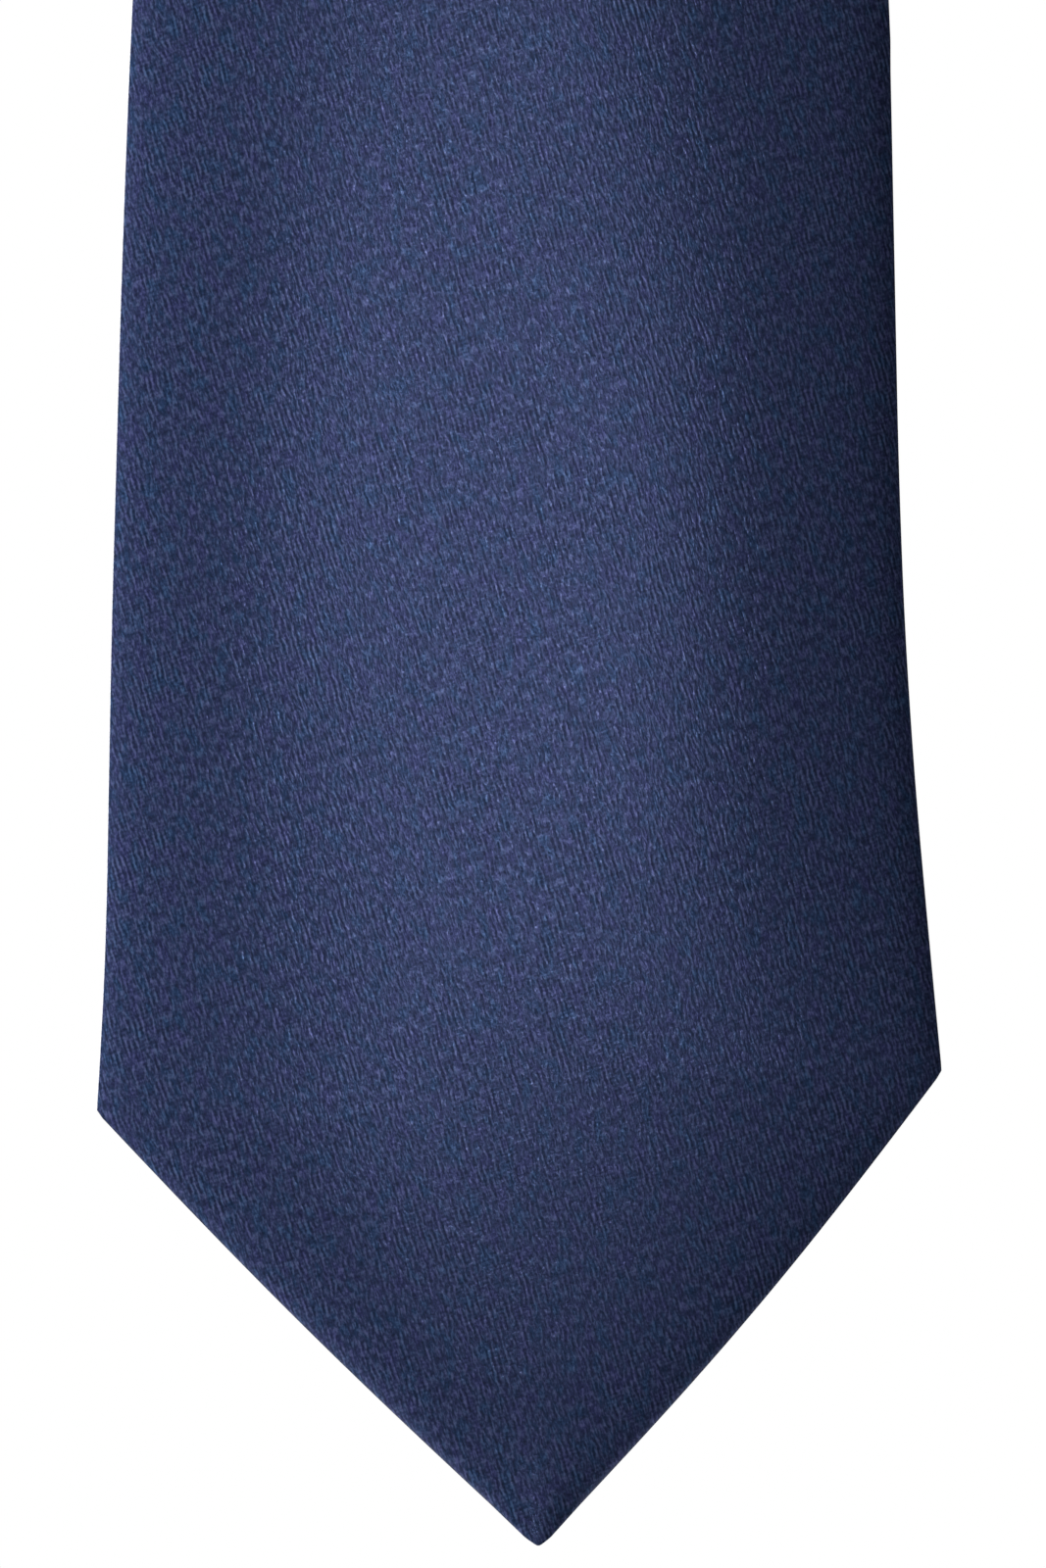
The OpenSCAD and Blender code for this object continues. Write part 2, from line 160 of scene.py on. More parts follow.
@dataclass(frozen=True)
class Hang:
    """The path of the cloth: up the front, half round the rail and down behind."""

    front_drop: float = 880.0
    length: float = 1480.0
    inner_r: float = 12.7
    thickness: float = 3.0

    @property
    def outer_r(self) -> float:
        """Radius of the cloth's outer face on the rail."""
        return self.inner_r + self.thickness

    @property
    def middle_r(self) -> float:
        """Radius at the middle of the cloth's thickness."""
        return self.inner_r + self.thickness / 2

    @property
    def fold(self) -> float:
        """Length of cloth on the rail."""
        return math.pi * self.middle_r

    def place(self, x: Array, depth: Array, s: Array) -> Array:
        """Lay flat cloth along the path.

        Args:
            x: across the tie, in mm.
            depth: below the outer face, in mm.
            s: along the tie from the wide tip, in mm.

        Returns:
            Points in metres, in the row frame, with a last axis of three.
        """
        x, depth, s = np.broadcast_arrays(*(np.asarray(v, float) for v in (x, depth, s)))
        radius = self.outer_r - depth
        turn = np.clip((s - self.front_drop) / self.middle_r, 0, math.pi)
        below = np.where(
            s < self.front_drop,
            s - self.front_drop,
            -np.maximum(s - self.front_drop - self.fold, 0),
        )
        y = -radius * np.cos(turn)
        z = radius * np.sin(turn) + below
        return np.stack([x, y, z], axis=-1) * MM

    def off_back(self, s: float, rise: float) -> Array:
        """A step straight off the cloth's back, beside the rail.

        Args:
            s: along the tie, to tell the front from the tail, in mm.
            rise: how far, in mm.

        Returns:
            The step in metres.
        """
        return np.array([0.0, rise if s < self.front_drop else -rise, 0.0]) * MM


# ---------------------------------------------------------------- meshes


def make_mesh(
    name: str, points: Array, faces: Sequence[Sequence[int]], uv: Array | None = None
) -> bpy.types.Object:
    """Make a smooth-shaded object from points and faces.

    Args:
        name: the piece's name.
        points: its vertices in metres.
        faces: vertex numbers of each face.
        uv: one cloth coordinate in metres for each vertex, or nothing.

    Returns:
        The linked object.
    """
    mesh = bpy.data.meshes.new(name)
    mesh.from_pydata([tuple(p) for p in points.reshape(-1, 3)], [], [tuple(f) for f in faces])
    mesh.update()
    mesh.polygons.foreach_set("use_smooth", [True] * len(mesh.polygons))
    if uv is not None:
        layer = mesh.uv_layers.new(name="Cloth")
        index = np.empty(len(mesh.loops), int)
        mesh.loops.foreach_get("vertex_index", index)
        layer.data.foreach_set("uv", uv.reshape(-1, 2)[index].astype(np.float32).ravel())
    obj = bpy.data.objects.new(name, mesh)
    bpy.context.scene.collection.objects.link(obj)
    return obj


def grid_faces(rows: int, columns: int, ring: bool = False, start: int = 0) -> list[tuple[int, ...]]:
    """Quads of a grid whose vertices run column by column along each row.

    Args:
        rows: rows of vertices.
        columns: vertices in a row.
        ring: whether the last column joins the first.
        start: number of the grid's first vertex.

    Returns:
        The quads.
    """
    reach = columns if ring else columns - 1
    return [
        (
            start + r * columns + c,
            start + r * columns + (c + 1) % columns,
            start + (r + 1) * columns + (c + 1) % columns,
            start + (r + 1) * columns + c,
        )
        for r in range(rows - 1)
        for c in range(reach)
    ]


def loft(
    name: str, hang: Hang, x: Array, depth: Array, s: Array, u: Array, ring: bool = False
) -> bpy.types.Object:
    """Make a cloth piece from a grid worked out on the flat.

    Args:
        name: the piece's name.
        hang: the path that it is laid along.
        x: across the tie, rows by columns.
        depth: below the outer face, the same shape.
        s: along the tie, the same shape.
        u: across the cloth itself, for its weave.
        ring: whether each row closes on itself, with capped ends.

    Returns:
        The piece.
    """
    rows, columns = x.shape
    points = hang.place(x, depth, s)
    faces = grid_faces(rows, columns, ring)
    if ring:
        faces += end_caps(rows, columns)
    return make_mesh(name, points, faces, np.stack([u, s], axis=-1) * MM)


def end_caps(rows: int, columns: int, start: int = 0) -> list[tuple[int, ...]]:
    """The two faces that close a tube made of rings.

    Args:
        rows: rings along it.
        columns: vertices in a ring.
        start: number of its first vertex.

    Returns:
        The first and the last cap.
    """
    last = start + (rows - 1) * columns
    return [tuple(range(start + columns - 1, start - 1, -1)), tuple(range(last, last + columns))]


@dataclass
class ThreadWork:
    """Gathers many short thread runs into one mesh of rounded tubes."""

    radius: float
    sides: int = 8
    taper: float = 0.35
    points: list[Array] = field(default_factory=list)
    faces: list[Sequence[int]] = field(default_factory=list)

    def run(self, path: Array) -> None:
        """Add one run of thread.

        Args:
            path: its centreline in metres, two or more points.
        """
        size = self.radius * MM
        count = len(path)
        tangent = np.gradient(path, axis=0)
        tangent /= np.linalg.norm(tangent, axis=1, keepdims=True) + 1e-12
        chord = path[-1] - path[0]
        upright = abs(chord[2]) > 0.8 * np.linalg.norm(chord)
        pick = np.array([1.0, 0.0, 0.0]) if upright else np.array([0.0, 0.0, 1.0])
        start = sum(len(p) for p in self.points)
        angle = np.linspace(0, 2 * math.pi, self.sides, endpoint=False)
        for i in range(count):
            a = np.cross(tangent[i], pick)
            a /= np.linalg.norm(a) + 1e-12
            b = np.cross(tangent[i], a)
            end = min(i, count - 1 - i) / max(1, (count - 1) / 2)
            round_off = math.sqrt(max(0.0, 1 - (1 - min(1.0, end * 2)) ** 2))
            r = size * (self.taper + (1 - self.taper) * round_off)
            self.points.append(path[i] + r * (np.cos(angle)[:, None] * a + np.sin(angle)[:, None] * b))
        self.faces += grid_faces(count, self.sides, ring=True, start=start)
        self.faces += end_caps(count, self.sides, start)

    def make(self, name: str) -> bpy.types.Object:
        """Make the piece.

        Args:
            name: the piece's name.

        Returns:
            The object.
        """
        return make_mesh(name, np.concatenate(self.points), self.faces)


def arch(a: Array, b: Array, rise: Array, steps: int = 6) -> Array:
    """A shallow arch of thread from one point to another.

    Args:
        a: first end in metres.
        b: last end.
        rise: how far the middle stands off, as a vector in metres.
        steps: points along it.

    Returns:
        The points.
    """
    t = np.linspace(0, 1, steps)[:, None]
    return a + (b - a) * t + rise * np.sin(math.pi * t)


# ---------------------------------------------------------------- finishes


def fill(tree: bpy.types.NodeTree, made: bpy.types.Node, inputs: dict[int | str, object]) -> None:
    """Set or link a node's inputs.

    Args:
        tree: the material's node tree.
        made: the node.
        inputs: by name or number, a value, an output socket, or a node whose first output is meant.
    """
    for key, value in inputs.items():
        source = value.outputs[0] if isinstance(value, bpy.types.Node) else value
        if isinstance(source, bpy.types.NodeSocket):
            tree.links.new(source, made.inputs[key])
        else:
            made.inputs[key].default_value = source


def add_node(
    tree: bpy.types.NodeTree,
    kind: str,
    inputs: dict[int | str, object] | None = None,
    stops: Sequence[tuple[float, str]] = (),
    **settings: object,
) -> bpy.types.Node:
    """Add a node with its settings, and its inputs set or linked.

    Args:
        tree: the material's node tree.
        kind: the node's type name, after ShaderNode.
        inputs: a value, an output socket or a node for each input, by name or number.
        stops: place and sRGB hex of each stop, where the node has a colour ramp.
        settings: attributes to set on the node.

    Returns:
        The node.
    """
    made = tree.nodes.new("ShaderNode" + kind)
    for key, value in settings.items():
        setattr(made, key, value)
    for _ in stops[2:]:
        made.color_ramp.elements.new(0.5)
    for number, (place, code) in enumerate(stops):
        made.color_ramp.elements[number].position = place
        made.color_ramp.elements[number].color = linear_from_hex(code)
    fill(tree, made, inputs or {})
    return made


def new_material(
    name: str,
) -> tuple[bpy.types.Material, bpy.types.Node, Callable[..., bpy.types.Node]]:
    """Start a material with a bare shader.

    Args:
        name: the material's name.

    Returns:
        The material, its shader node and add_node for its tree.
    """
    material = bpy.data.materials.new(name)
    material.use_nodes = True
    tree = material.node_tree
    return material, tree.nodes["Principled BSDF"], partial(add_node, tree)


@dataclass(frozen=True)
class BiasSatin:
    """Silk satin, yarn-dyed navy and woven in five-end satin, cut at 45 degrees to its threads.

    The long floats lie side by side with almost no gaps, which gives a broad soft sheen, and the rows of
    binding points draw two sets of fine slanted lines through it: a strong steep set and a weak shallow one.
    The weave's real threads are too fine to show, so its rows and floats are drawn several times coarser.
    """

    name: str = "silk_satin_woven_bias"
    deep: str = "2A324E"
    mid: str = "3D4870"
    # The weave's light tone, which the painted glints of the floats reach.
    bright: str = "6D79A9"
    teal: str = "C2E6E6"
    even: str = "E0E1E0"
    violet: str = "E6DAEA"
    gloss_tint: str = "8A98D0"
    sheen_tint: str = "5A6AA8"
    steep_mm: float = 0.54
    steep_deg: float = 16.5
    shallow_mm: float = 0.43
    shallow_deg: float = 20.0
    float_mm: float = 0.95
    roughness: float = 0.12

    def make(self) -> bpy.types.Material:
        """Build the material.

        Returns:
            The material.
        """
        material, shader, node = new_material(self.name)
        cloth = node("UVMap", uv_map="Cloth")
        flat = node("VectorMath", {0: cloth, "Scale": 1000.0}, operation="SCALE")
        # Threads wander from their true line by up to about a third of their spacing.
        wander = node("TexNoise", {"Vector": flat, "Scale": 0.3, "Detail": 2.0, "Roughness": 0.5},
                      noise_dimensions="2D")
        shift = node("VectorMath", {0: wander.outputs["Color"], 1: (0.35, 0.35, 0.0), 2: (-0.17, -0.17, 0.0)},
                     operation="MULTIPLY_ADD")
        moved = node("VectorMath", {0: flat, 1: shift}, operation="ADD")
        slant = node("VectorRotate", {"Vector": moved, "Angle": -math.radians(self.steep_deg)},
                     rotation_type="Z_AXIS")
        along = node("SeparateXYZ", {0: slant}).outputs[0]
        steep = node("Math", {0: along, 1: 2 * math.pi / self.steep_mm}, operation="MULTIPLY")
        steep = node("Math", {0: steep}, operation="SINE")
        tilt = node("VectorRotate", {"Vector": moved, "Angle": -math.radians(self.shallow_deg)},
                    rotation_type="Z_AXIS")
        across = node("SeparateXYZ", {0: tilt}).outputs[1]
        shallow = node("Math", {0: across, 1: 2 * math.pi / self.shallow_mm}, operation="MULTIPLY")
        shallow = node("Math", {0: shallow}, operation="SINE")
        # Every float is a short bright dash beside its neighbours, each brighter or duller: painted glints in
        # the base colour. The same pattern also makes the brighter floats glossier in the roughness and
        # raises them in the bump.
        dashes = node("Mapping", {"Vector": slant, "Scale": (self.steep_mm / 2, self.float_mm, 1.0)},
                      vector_type="TEXTURE")
        cells = node("TexNoise", {"Vector": dashes, "Scale": 1.0, "Detail": 1.5, "Roughness": 0.6},
                     noise_dimensions="2D")
        painted_glint = node("MapRange", {0: cells, 1: 0.34, 2: 0.74, 3: 0.0, 4: 0.57})
        grain = node("TexNoise", {"Vector": flat, "Scale": 3.4, "Detail": 1.5, "Roughness": 0.6},
                     noise_dimensions="2D")
        mottle = node("Math", {0: grain, 1: 0.68, 2: -0.09}, operation="MULTIPLY_ADD")
        # In places the rows of binding points all but vanish.
        fade = node("TexNoise", {"Vector": flat, "Scale": 0.11, "Detail": 2.0, "Roughness": 0.6},
                    noise_dimensions="2D")
        clear = node("MapRange", {0: fade, 1: 0.36, 2: 0.62, 3: 0.25, 4: 1.0})
        rows = node("Math", {0: shallow, 1: 0.06, 2: node("Math", {0: steep, 1: 0.14}, operation="MULTIPLY")},
                    operation="MULTIPLY_ADD")
        # The floats' tone: painted glints plus random mottle.
        floats = node("Math", {0: painted_glint, 1: mottle}, operation="ADD")
        weave = node("Math", {0: clear, 1: rows, 2: floats}, operation="MULTIPLY_ADD")
        tone = node("ValToRGB", {0: weave}, [(0.12, self.deep), (0.46, self.mid), (0.98, self.bright)])
        # The dye takes a little greener or redder in short streaks along the floats.
        streaks = node("Mapping", {"Vector": slant, "Scale": (1.5, 3.0, 1.0)}, vector_type="TEXTURE")
        hue = node("TexNoise", {"Vector": streaks, "Scale": 1.0, "Detail": 3.0, "Roughness": 0.7},
                   noise_dimensions="2D")
        tint = node("ValToRGB", {0: hue}, [(0.32, self.teal), (0.5, self.even), (0.68, self.violet)])
        mixed = node("Mix", {0: 1.0, 6: tone, 7: tint}, data_type="RGBA", blend_type="MULTIPLY")
        rough = node("MapRange", {0: weave, 1: 0.1, 2: 1.0, 3: self.roughness + 0.12,
                                  4: self.roughness - 0.06})
        # Light glances off inside the dyed fibre as well as off its skin, so even the gloss is blue.
        fill(material.node_tree, shader, {
            "Base Color": mixed.outputs[2],
            "Roughness": rough,
            "Normal": node("Bump", {"Height": weave, "Strength": 0.2, "Distance": 0.0001}),
            "Metallic": 0.2,
            "IOR": 1.55,
            "Specular IOR Level": 0.6,
            "Specular Tint": linear_from_hex(self.gloss_tint),
            "Sheen Weight": 0.05,
            "Sheen Roughness": 0.4,
            "Sheen Tint": linear_from_hex(self.sheen_tint),
        })
        return material


@dataclass(frozen=True)
class FineTwill:
    """A thin lining or label cloth in fine twill or taffeta, piece-dyed: even, with a low dry lustre."""

    name: str
    dark: str
    light: str
    pitch_mm: float
    roughness: float
    slant_deg: float = 45.0
    bump_mm: float = 0.05

    def make(self) -> bpy.types.Material:
        """Build the material.

        Returns:
            The material.
        """
        material, shader, node = new_material(self.name)
        flat = node("VectorMath", {0: node("UVMap", uv_map="Cloth"), "Scale": 1000.0}, operation="SCALE")
        slant = node("VectorRotate", {"Vector": flat, "Angle": -math.radians(self.slant_deg)},
                     rotation_type="Z_AXIS")
        along = node("Math", {0: node("SeparateXYZ", {0: slant}).outputs[0], 1: 2 * math.pi / self.pitch_mm},
                     operation="MULTIPLY")
        rib = node("Math", {0: node("Math", {0: along}, operation="SINE"), 1: 0.25, 2: 0.25},
                   operation="MULTIPLY_ADD")
        slub = node("TexNoise", {"Vector": flat, "Scale": 1.6, "Detail": 4.0, "Roughness": 0.7},
                    noise_dimensions="2D")
        weave = node("Math", {0: slub, 1: 0.5, 2: rib}, operation="MULTIPLY_ADD")
        fill(material.node_tree, shader, {
            "Base Color": node("ValToRGB", {0: weave}, [(0.2, self.dark), (0.8, self.light)]),
            "Normal": node("Bump", {"Height": weave, "Strength": 0.5, "Distance": self.bump_mm * MM}),
            "Roughness": self.roughness,
            "Sheen Weight": 0.1,
        })
        return material


@dataclass(frozen=True)
class SpunThread:
    """Spun silk sewing thread, dyed: two plies twisted together, which gives fine slanting ridges.

    The real twist is too fine to show, so its ridges are drawn several times further apart.
    """

    name: str
    dark: str
    light: str
    twist_mm: float = 2.2

    def make(self) -> bpy.types.Material:
        """Build the material.

        Returns:
            The material.
        """
        material, shader, node = new_material(self.name)
        place = node("TexCoord").outputs["Object"]
        # A wave texture of scale 1 has twenty radians, a little over three bands, in a unit.
        scale = 2 * math.pi / (self.twist_mm * MM) / 20
        twist = node("TexWave", {"Vector": place, "Scale": scale, "Distortion": 2.0, "Detail": 1.0},
                     wave_type="BANDS", bands_direction="DIAGONAL").outputs[1]
        fill(material.node_tree, shader, {
            "Base Color": node("ValToRGB", {0: twist}, [(0.1, self.dark), (0.9, self.light)]),
            "Normal": node("Bump", {"Height": twist, "Strength": 0.4, "Distance": 0.00005}),
            "Roughness": 0.62,
            "Sheen Weight": 0.25,
        })
        return material


@dataclass(frozen=True)
class StudioPaper:
    """Matt white background paper, rolled: even and a little warm, with no gloss."""

    name: str = "studio_paper_matt"
    colour: str = "FAF9F6"

    def make(self) -> bpy.types.Material:
        """Build the material.

        Returns:
            The material.
        """
        material, shader, _ = new_material(self.name)
        fill(material.node_tree, shader, {"Base Color": linear_from_hex(self.colour), "Roughness": 0.9})
        return material


class Wardrobe:
    """The finishes, each made once."""

    def __init__(self) -> None:
        """Make the finish of every record slot."""
        self.finishes = {
            Slot.SATIN: BiasSatin().make(),
            Slot.TIPPING: FineTwill("acetate_twill_lining_woven", "10152A", "222A4A", 0.45, 0.5).make(),
            Slot.WOOL: FineTwill("wool_canvas_brushed", "A89C84", "D2C7AF", 0.9, 0.95, 0.0, 0.2).make(),
            Slot.THREAD: SpunThread("spun_thread_dyed_navy", "2C3866", "6673AE").make(),
            Slot.LABEL: FineTwill("taffeta_label_woven", "0B0F20", "1C2340", 0.35, 0.45, 90.0).make(),
            Slot.CARE: FineTwill("satin_ribbon_woven_white", "CFCFC9", "F0F0EC", 0.4, 0.4, 0.0).make(),
        }

    def of(self, slot: Slot) -> bpy.types.Material:
        """The finish of a record slot."""
        return self.finishes[slot]


# ---------------------------------------------------------------- joints that cloth crosses


@dataclass(frozen=True)
class Bend:
    """A stretch where the cloth turns from one body to the next."""

    first: str
    second: str
    start: tuple[float, float, float]
    end: tuple[float, float, float]

    def apply(self, piece: bpy.types.Object) -> None:
        """Bake the piece's transform into its mesh."""
        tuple(self.start)
        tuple(self.end)
        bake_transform(piece)


FRONT_BEND = Bend("neck", "front_blade", (0, 0, -0.418), (0, 0, -0.462))
SWING_BEND = Bend("neck", "tail_leg", (0, 0.016, -0.004), (0, 0.016, -0.036))
TAIL_BEND = Bend("tail_leg", "tail_end", (0, 0, -0.2334), (0, 0, -0.2774))


def settle(
    piece: bpy.types.Object,
    slot: Slot,
    wardrobe: Wardrobe,
    nodes: Sequence[str],
    motion: Bend | str,
) -> bpy.types.Object:
    """Dress a finished piece, tie it to the body that it rides on or bake its transform where it crosses a
    bend, and let it stand for its nodes.

    Args:
        piece: the piece, with its mesh final.
        slot: the record slot of its finish.
        wardrobe: the finishes.
        nodes: CAD nodes that it stands for.
        motion: the bend that it crosses, or the body that it rides on.

    Returns:
        The piece.
    """
    piece.data.materials.clear()
    piece.data.materials.append(wardrobe.of(slot))
    if isinstance(motion, Bend):
        motion.apply(piece)
    else:
        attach(piece, motion)
    if nodes:
        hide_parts(*nodes)
    stands_for = ", ".join(nodes) or "nothing"
    LOG.info("%s: %d faces, stands for %s", piece.name, len(piece.data.polygons), stands_for)
    return piece


# ---------------------------------------------------------------- the outline of each blade


@dataclass(frozen=True)
class WideOutline:
    """Edges of the wide blade, measured from its tip."""

    width: float = 85.0
    neck: float = 34.0
    taper: float = 0.079
    point: float = 45.5
    skew: float = 3.5
    tip_x: float = 2.1
    tip_flat: float = 0.5
    tip_round: float = 0.9
    corner_round: float = 0.4
    left_bulge: float = 0.95
    right_bulge: float = 1.4
    lean: float = 0.65
    # Half-widths above the point, in mm against mm above the corner: the left edge is nearly straight, while
    # the right one flares out over its last few centimetres.
    left_run: Run = ((0, 42.7), (9, 42.15), (18, 41.75), (49, 41.2), (81, 40.3), (97, 39.75), (113, 39.1))
    right_run: Run = ((0, 43.15), (14, 41.8), (30, 40.35), (46, 39.3), (62, 38.7), (109, 37.75))
    # Length over which a kink in a run is rounded, and lengths of the two blends above the runs.
    kink: float = 6.0
    level_out: float = 280.0
    join: float = 60.0

    def corner(self, side: Side) -> float:
        """How far above the tip the corner on one side is."""
        return self.point + side.value * self.skew / 2

    def half(self, s: float) -> float:
        """Half the width of the evenly tapered blade."""
        return max(self.neck / 2, (self.width - self.taper * (s - self.point)) / 2)

    def side_edge(self, side: Side, s: float) -> float:
        """How far out the side edge is, before the point cuts it.

        Args:
            side: the half of the tie.
            s: distance from the tip.

        Returns:
            Distance from the middle, in mm.
        """
        above, out = zip(*(self.left_run if side is Side.LEFT else self.right_run), strict=True)
        height = s - self.corner(side)
        past = height - above[-1]
        if height <= self.kink:
            low = float(np.interp(max(height, 0.0), above, out))
        elif past < -self.kink:
            low = float(np.interp(height + np.linspace(-self.kink, self.kink, 5), above, out).mean())
        else:
            low = out[-1] - self.taper / 2 * past
        even = self.half(s) - side.value * self.lean * (1 - float(smooth(past / self.level_out)))
        share = float(smooth((past + 14) / self.join))
        return low * (1 - share) + even * share

    def edge(self, side: Side, s: float) -> float:
        """The signed x of one edge of the finished blade.

        Args:
            side: the half of the tie.
            s: distance from the tip.

        Returns:
            x in mm.
        """
        corner = self.corner(side)
        slope = (self.width / 2 - side.value * self.tip_x) / corner
        share = min(s / corner, 1.0)
        bow = (self.right_bulge if side is Side.RIGHT else self.left_bulge) * math.sin(math.pi * share)
        out = s * slope + self.tip_flat * (1 - 0.75 * share) + bow
        out *= math.sqrt(max(0.0, 1 - (1 - min(s / self.tip_round, 1.0)) ** 2))
        out += side.value * self.tip_x
        return side.value * soft_min(out, self.side_edge(side, s), self.corner_round)


@dataclass(frozen=True)
class TailOutline:
    """Edges of the narrow blade, measured from its own tip."""

    width: float = 42.0
    neck: float = 34.0
    tip_flat: float = 0.6
    tip_round: float = 1.2
    corner_round: float = 1.6
    # Length of the tail from its tip to the rail, over which it narrows to the neck's width.
    reach: float = 535.389

    @property
    def corner(self) -> float:
        """How far above the tip both corners are."""
        return self.width / 2

    def edge(self, side: Side, s: float) -> float:
        """The signed x of one edge.

        Args:
            side: the half of the tie.
            s: distance from the tail's tip.

        Returns:
            x in mm.
        """
        round_off = math.sqrt(max(0.0, 1 - (1 - min(s / self.tip_round, 1.0)) ** 2))
        point = (s + self.tip_flat) * round_off
        share = min(1.0, max(0.0, (self.reach - s) / (self.reach - self.corner)))
        straight = (self.neck + (self.width - self.neck) * share) / 2
        return side.value * soft_min(point, straight, self.corner_round)


# ---------------------------------------------------------------- folded shell of a blade or the neck


@dataclass
class FoldedShell:
    """Satin cut on the bias and folded round the interlining, with its two free edges turned in and lapped.

    Its cross-section runs from the left free edge along the back, round the left roll, over the face, round
    the right roll and back to the right free edge. The face bulges a little along the middle over the canvas,
    and on the wide blade its left edge is pressed sharper than its right one.
    """

    edges: Callable[[float], tuple[float, float]]
    free: Callable[[float], tuple[float, float]]
    lift: float = 1.9
    neck_lift: float = 0.45
    # The bulge sinks away over this length of the wide blade, down to its tip.
    tip_ease: float = 78.0
    soft: float = 2.1
    sharp: float = 2.5
    roll: float = 2.6
    middle: float = 1.45
    drop: float = 0.7
    back: float = 2.85
    # How far the lower flap tucks under at the lap, and how far from the lap the flaps are level again.
    tuck: float = 0.32
    lap_reach: float = 14.0
    turning: float = 5.0
    turn_r: float = 0.34
    face_columns: int = 65
    back_columns: int = 16
    roll_columns: int = 5

    def widening(self, width: float) -> float:
        """How far a width is from the neck's towards the wide blade's, from 0 to 1."""
        return float(smooth((width / 2 - 17) / 20))

    def edge_depth(self, side: Side, width: float) -> float:
        """Depth of the very edge: mid-thickness, but further back on the wide blade's soft right edge."""
        sag = self.drop * self.widening(width) if side is Side.RIGHT else 0.0
        return (self.middle + sag) * min(1.0, width / THIN_BELOW)

    def wave(self, x: Array, s: float) -> Array:
        """Slow unevenness of the pressed cloth, up to a quarter of a millimetre either way.

        Args:
            x: across the tie.
            s: along the tie.

        Returns:
            Depths in mm.
        """
        return (
            0.13 * np.sin(s / 37.0 + x / 19.0)
            + 0.09 * np.sin(s / 17.3 - x / 11.0 + 1.3)
            + 0.06 * np.sin(s / 71.0 + x / 7.0 + 0.4)
        )

    def face_depth(self, x: Array, left: float, right: float, s: float) -> Array:
        """Depth of the face below the nominal plane, from its bulging middle to its rolled edges.

        Args:
            x: across the tie.
            left: left edge.
            right: right edge.
            s: along the tie.

        Returns:
            Depths in mm.
        """
        half = max((right - left) / 2, 0.5)
        t = np.clip((x - (left + right) / 2) / half, -1, 1)
        near_tip = min(s / self.tip_ease, 1.0)
        wide = 1.0 if near_tip < 1 else self.widening(right - left)
        size = min(1.0, half / 17.0)
        lift = (self.neck_lift + (self.lift - self.neck_lift) * wide) * size * (1 - (1 - near_tip) ** 2)
        power = np.where(t > 0, self.sharp + (self.soft - self.sharp) * wide, self.sharp)
        left_depth, right_depth = (self.edge_depth(side, right - left) for side in Side)
        middle = np.where(t > 0, right_depth, left_depth)
        fall = 1 - np.sqrt(1 - np.abs(t) ** power)
        return -lift + (middle + lift) * fall + size * self.wave(x, s) * (1 - t**4)

    def lap_depth(self, x: Array, side: Side) -> Array:
        """Depth of a back flap: near the middle the left one dips under and the right one rides over."""
        near = smooth(1 - np.abs(x - (LAP_RIGHT if side is Side.RIGHT else LAP_LEFT)) / self.lap_reach)
        return self.back + (LAP_DEPTH - self.back if side is Side.RIGHT else -self.tuck) * near

    def flap(
        self, side: Side, edge: float, free: float, width: float, slanting: float
    ) -> tuple[Array, Array]:
        """Half of the back: turned-in hem, its fold, the flap and the back of the rolled edge.

        Args:
            side: the half.
            edge: x of the blade's edge.
            free: x of the flap's free edge.
            width: the blade's width here.
            slanting: how squeezed the rolled edge looks where the edge runs at a slant, as a factor.

        Returns:
            x and depth, from the hem inside to just short of the edge.
        """
        thin, inward = min(1.0, width / THIN_BELOW), -side.value
        roll = min(self.roll * slanting, width * 0.42)
        hub = edge + inward * roll
        turn = min(self.turning, max(0.2, abs(free - hub)) * 0.8)
        end_depth = float(self.lap_depth(np.array(free), side)) * thin
        r = self.turn_r * thin
        bend = np.linspace(-math.pi / 2, math.pi / 2, 7)
        start = free - inward * r
        x = [free - inward * turn, free - inward * turn / 2], start + inward * r * np.cos(bend)
        d = [end_depth - 2 * r] * 2, end_depth - r + r * np.sin(bend)
        back_x = start + (hub - start) * np.linspace(0, 1, self.back_columns + 1)[1:]
        back_d = self.lap_depth(back_x, side) * thin
        sweep = np.linspace(0, math.pi / 2, self.roll_columns + 1)[1:-1]
        middle = self.edge_depth(side, width)
        roll_x = hub - inward * roll * np.sin(sweep)
        roll_d = middle + (back_d[-1] - middle) * np.cos(sweep)
        return np.concatenate([*x, back_x, roll_x]), np.concatenate([*d, back_d, roll_d])

    def row(self, s: float, slanting: float) -> tuple[Array, Array, Array]:
        """One cross-section.

        Args:
            s: along the tie, for its widths.
            slanting: how squeezed the rolled edges look, as a factor.

        Returns:
            x, depth and distance across the cloth for each column.
        """
        left, right = self.edges(s)
        free_left, free_right = self.free(s)
        lx, ld = self.flap(Side.LEFT, left, free_left, right - left, slanting)
        rx, rd = self.flap(Side.RIGHT, right, free_right, right - left, slanting)
        across = np.sin(np.linspace(-math.pi / 2, math.pi / 2, self.face_columns))
        face_x = (left + right) / 2 + (right - left) / 2 * across
        face_d = self.face_depth(face_x, left, right, s)
        x, d = np.concatenate([lx, face_x, rx[::-1]]), np.concatenate([ld, face_d, rd[::-1]])
        run = np.concatenate([[0], np.cumsum(np.hypot(np.diff(x), np.diff(d)))])
        middle_column = len(x) // 2
        return x, d, run - run[middle_column] + x[middle_column]

    def grid(
        self,
        stations: Sequence[float],
        slant: Callable[[float], float],
        shear: Callable[[float], float],
    ) -> tuple[Array, Array, Array, Array]:
        """All the cross-sections of a piece.

        Args:
            stations: distances along the tie.
            slant: the squeeze of the rolled edges at each.
            shear: how far a row slants there, in mm along for each mm across.

        Returns:
            x, depth, s and u grids.
        """
        made = [self.row(s, slant(s)) for s in stations]
        x, d, u = (np.stack(part) for part in zip(*made, strict=True))
        along = np.array([[s] for s in stations]) + np.array([[shear(s)] for s in stations]) * x
        return x, d, along, u


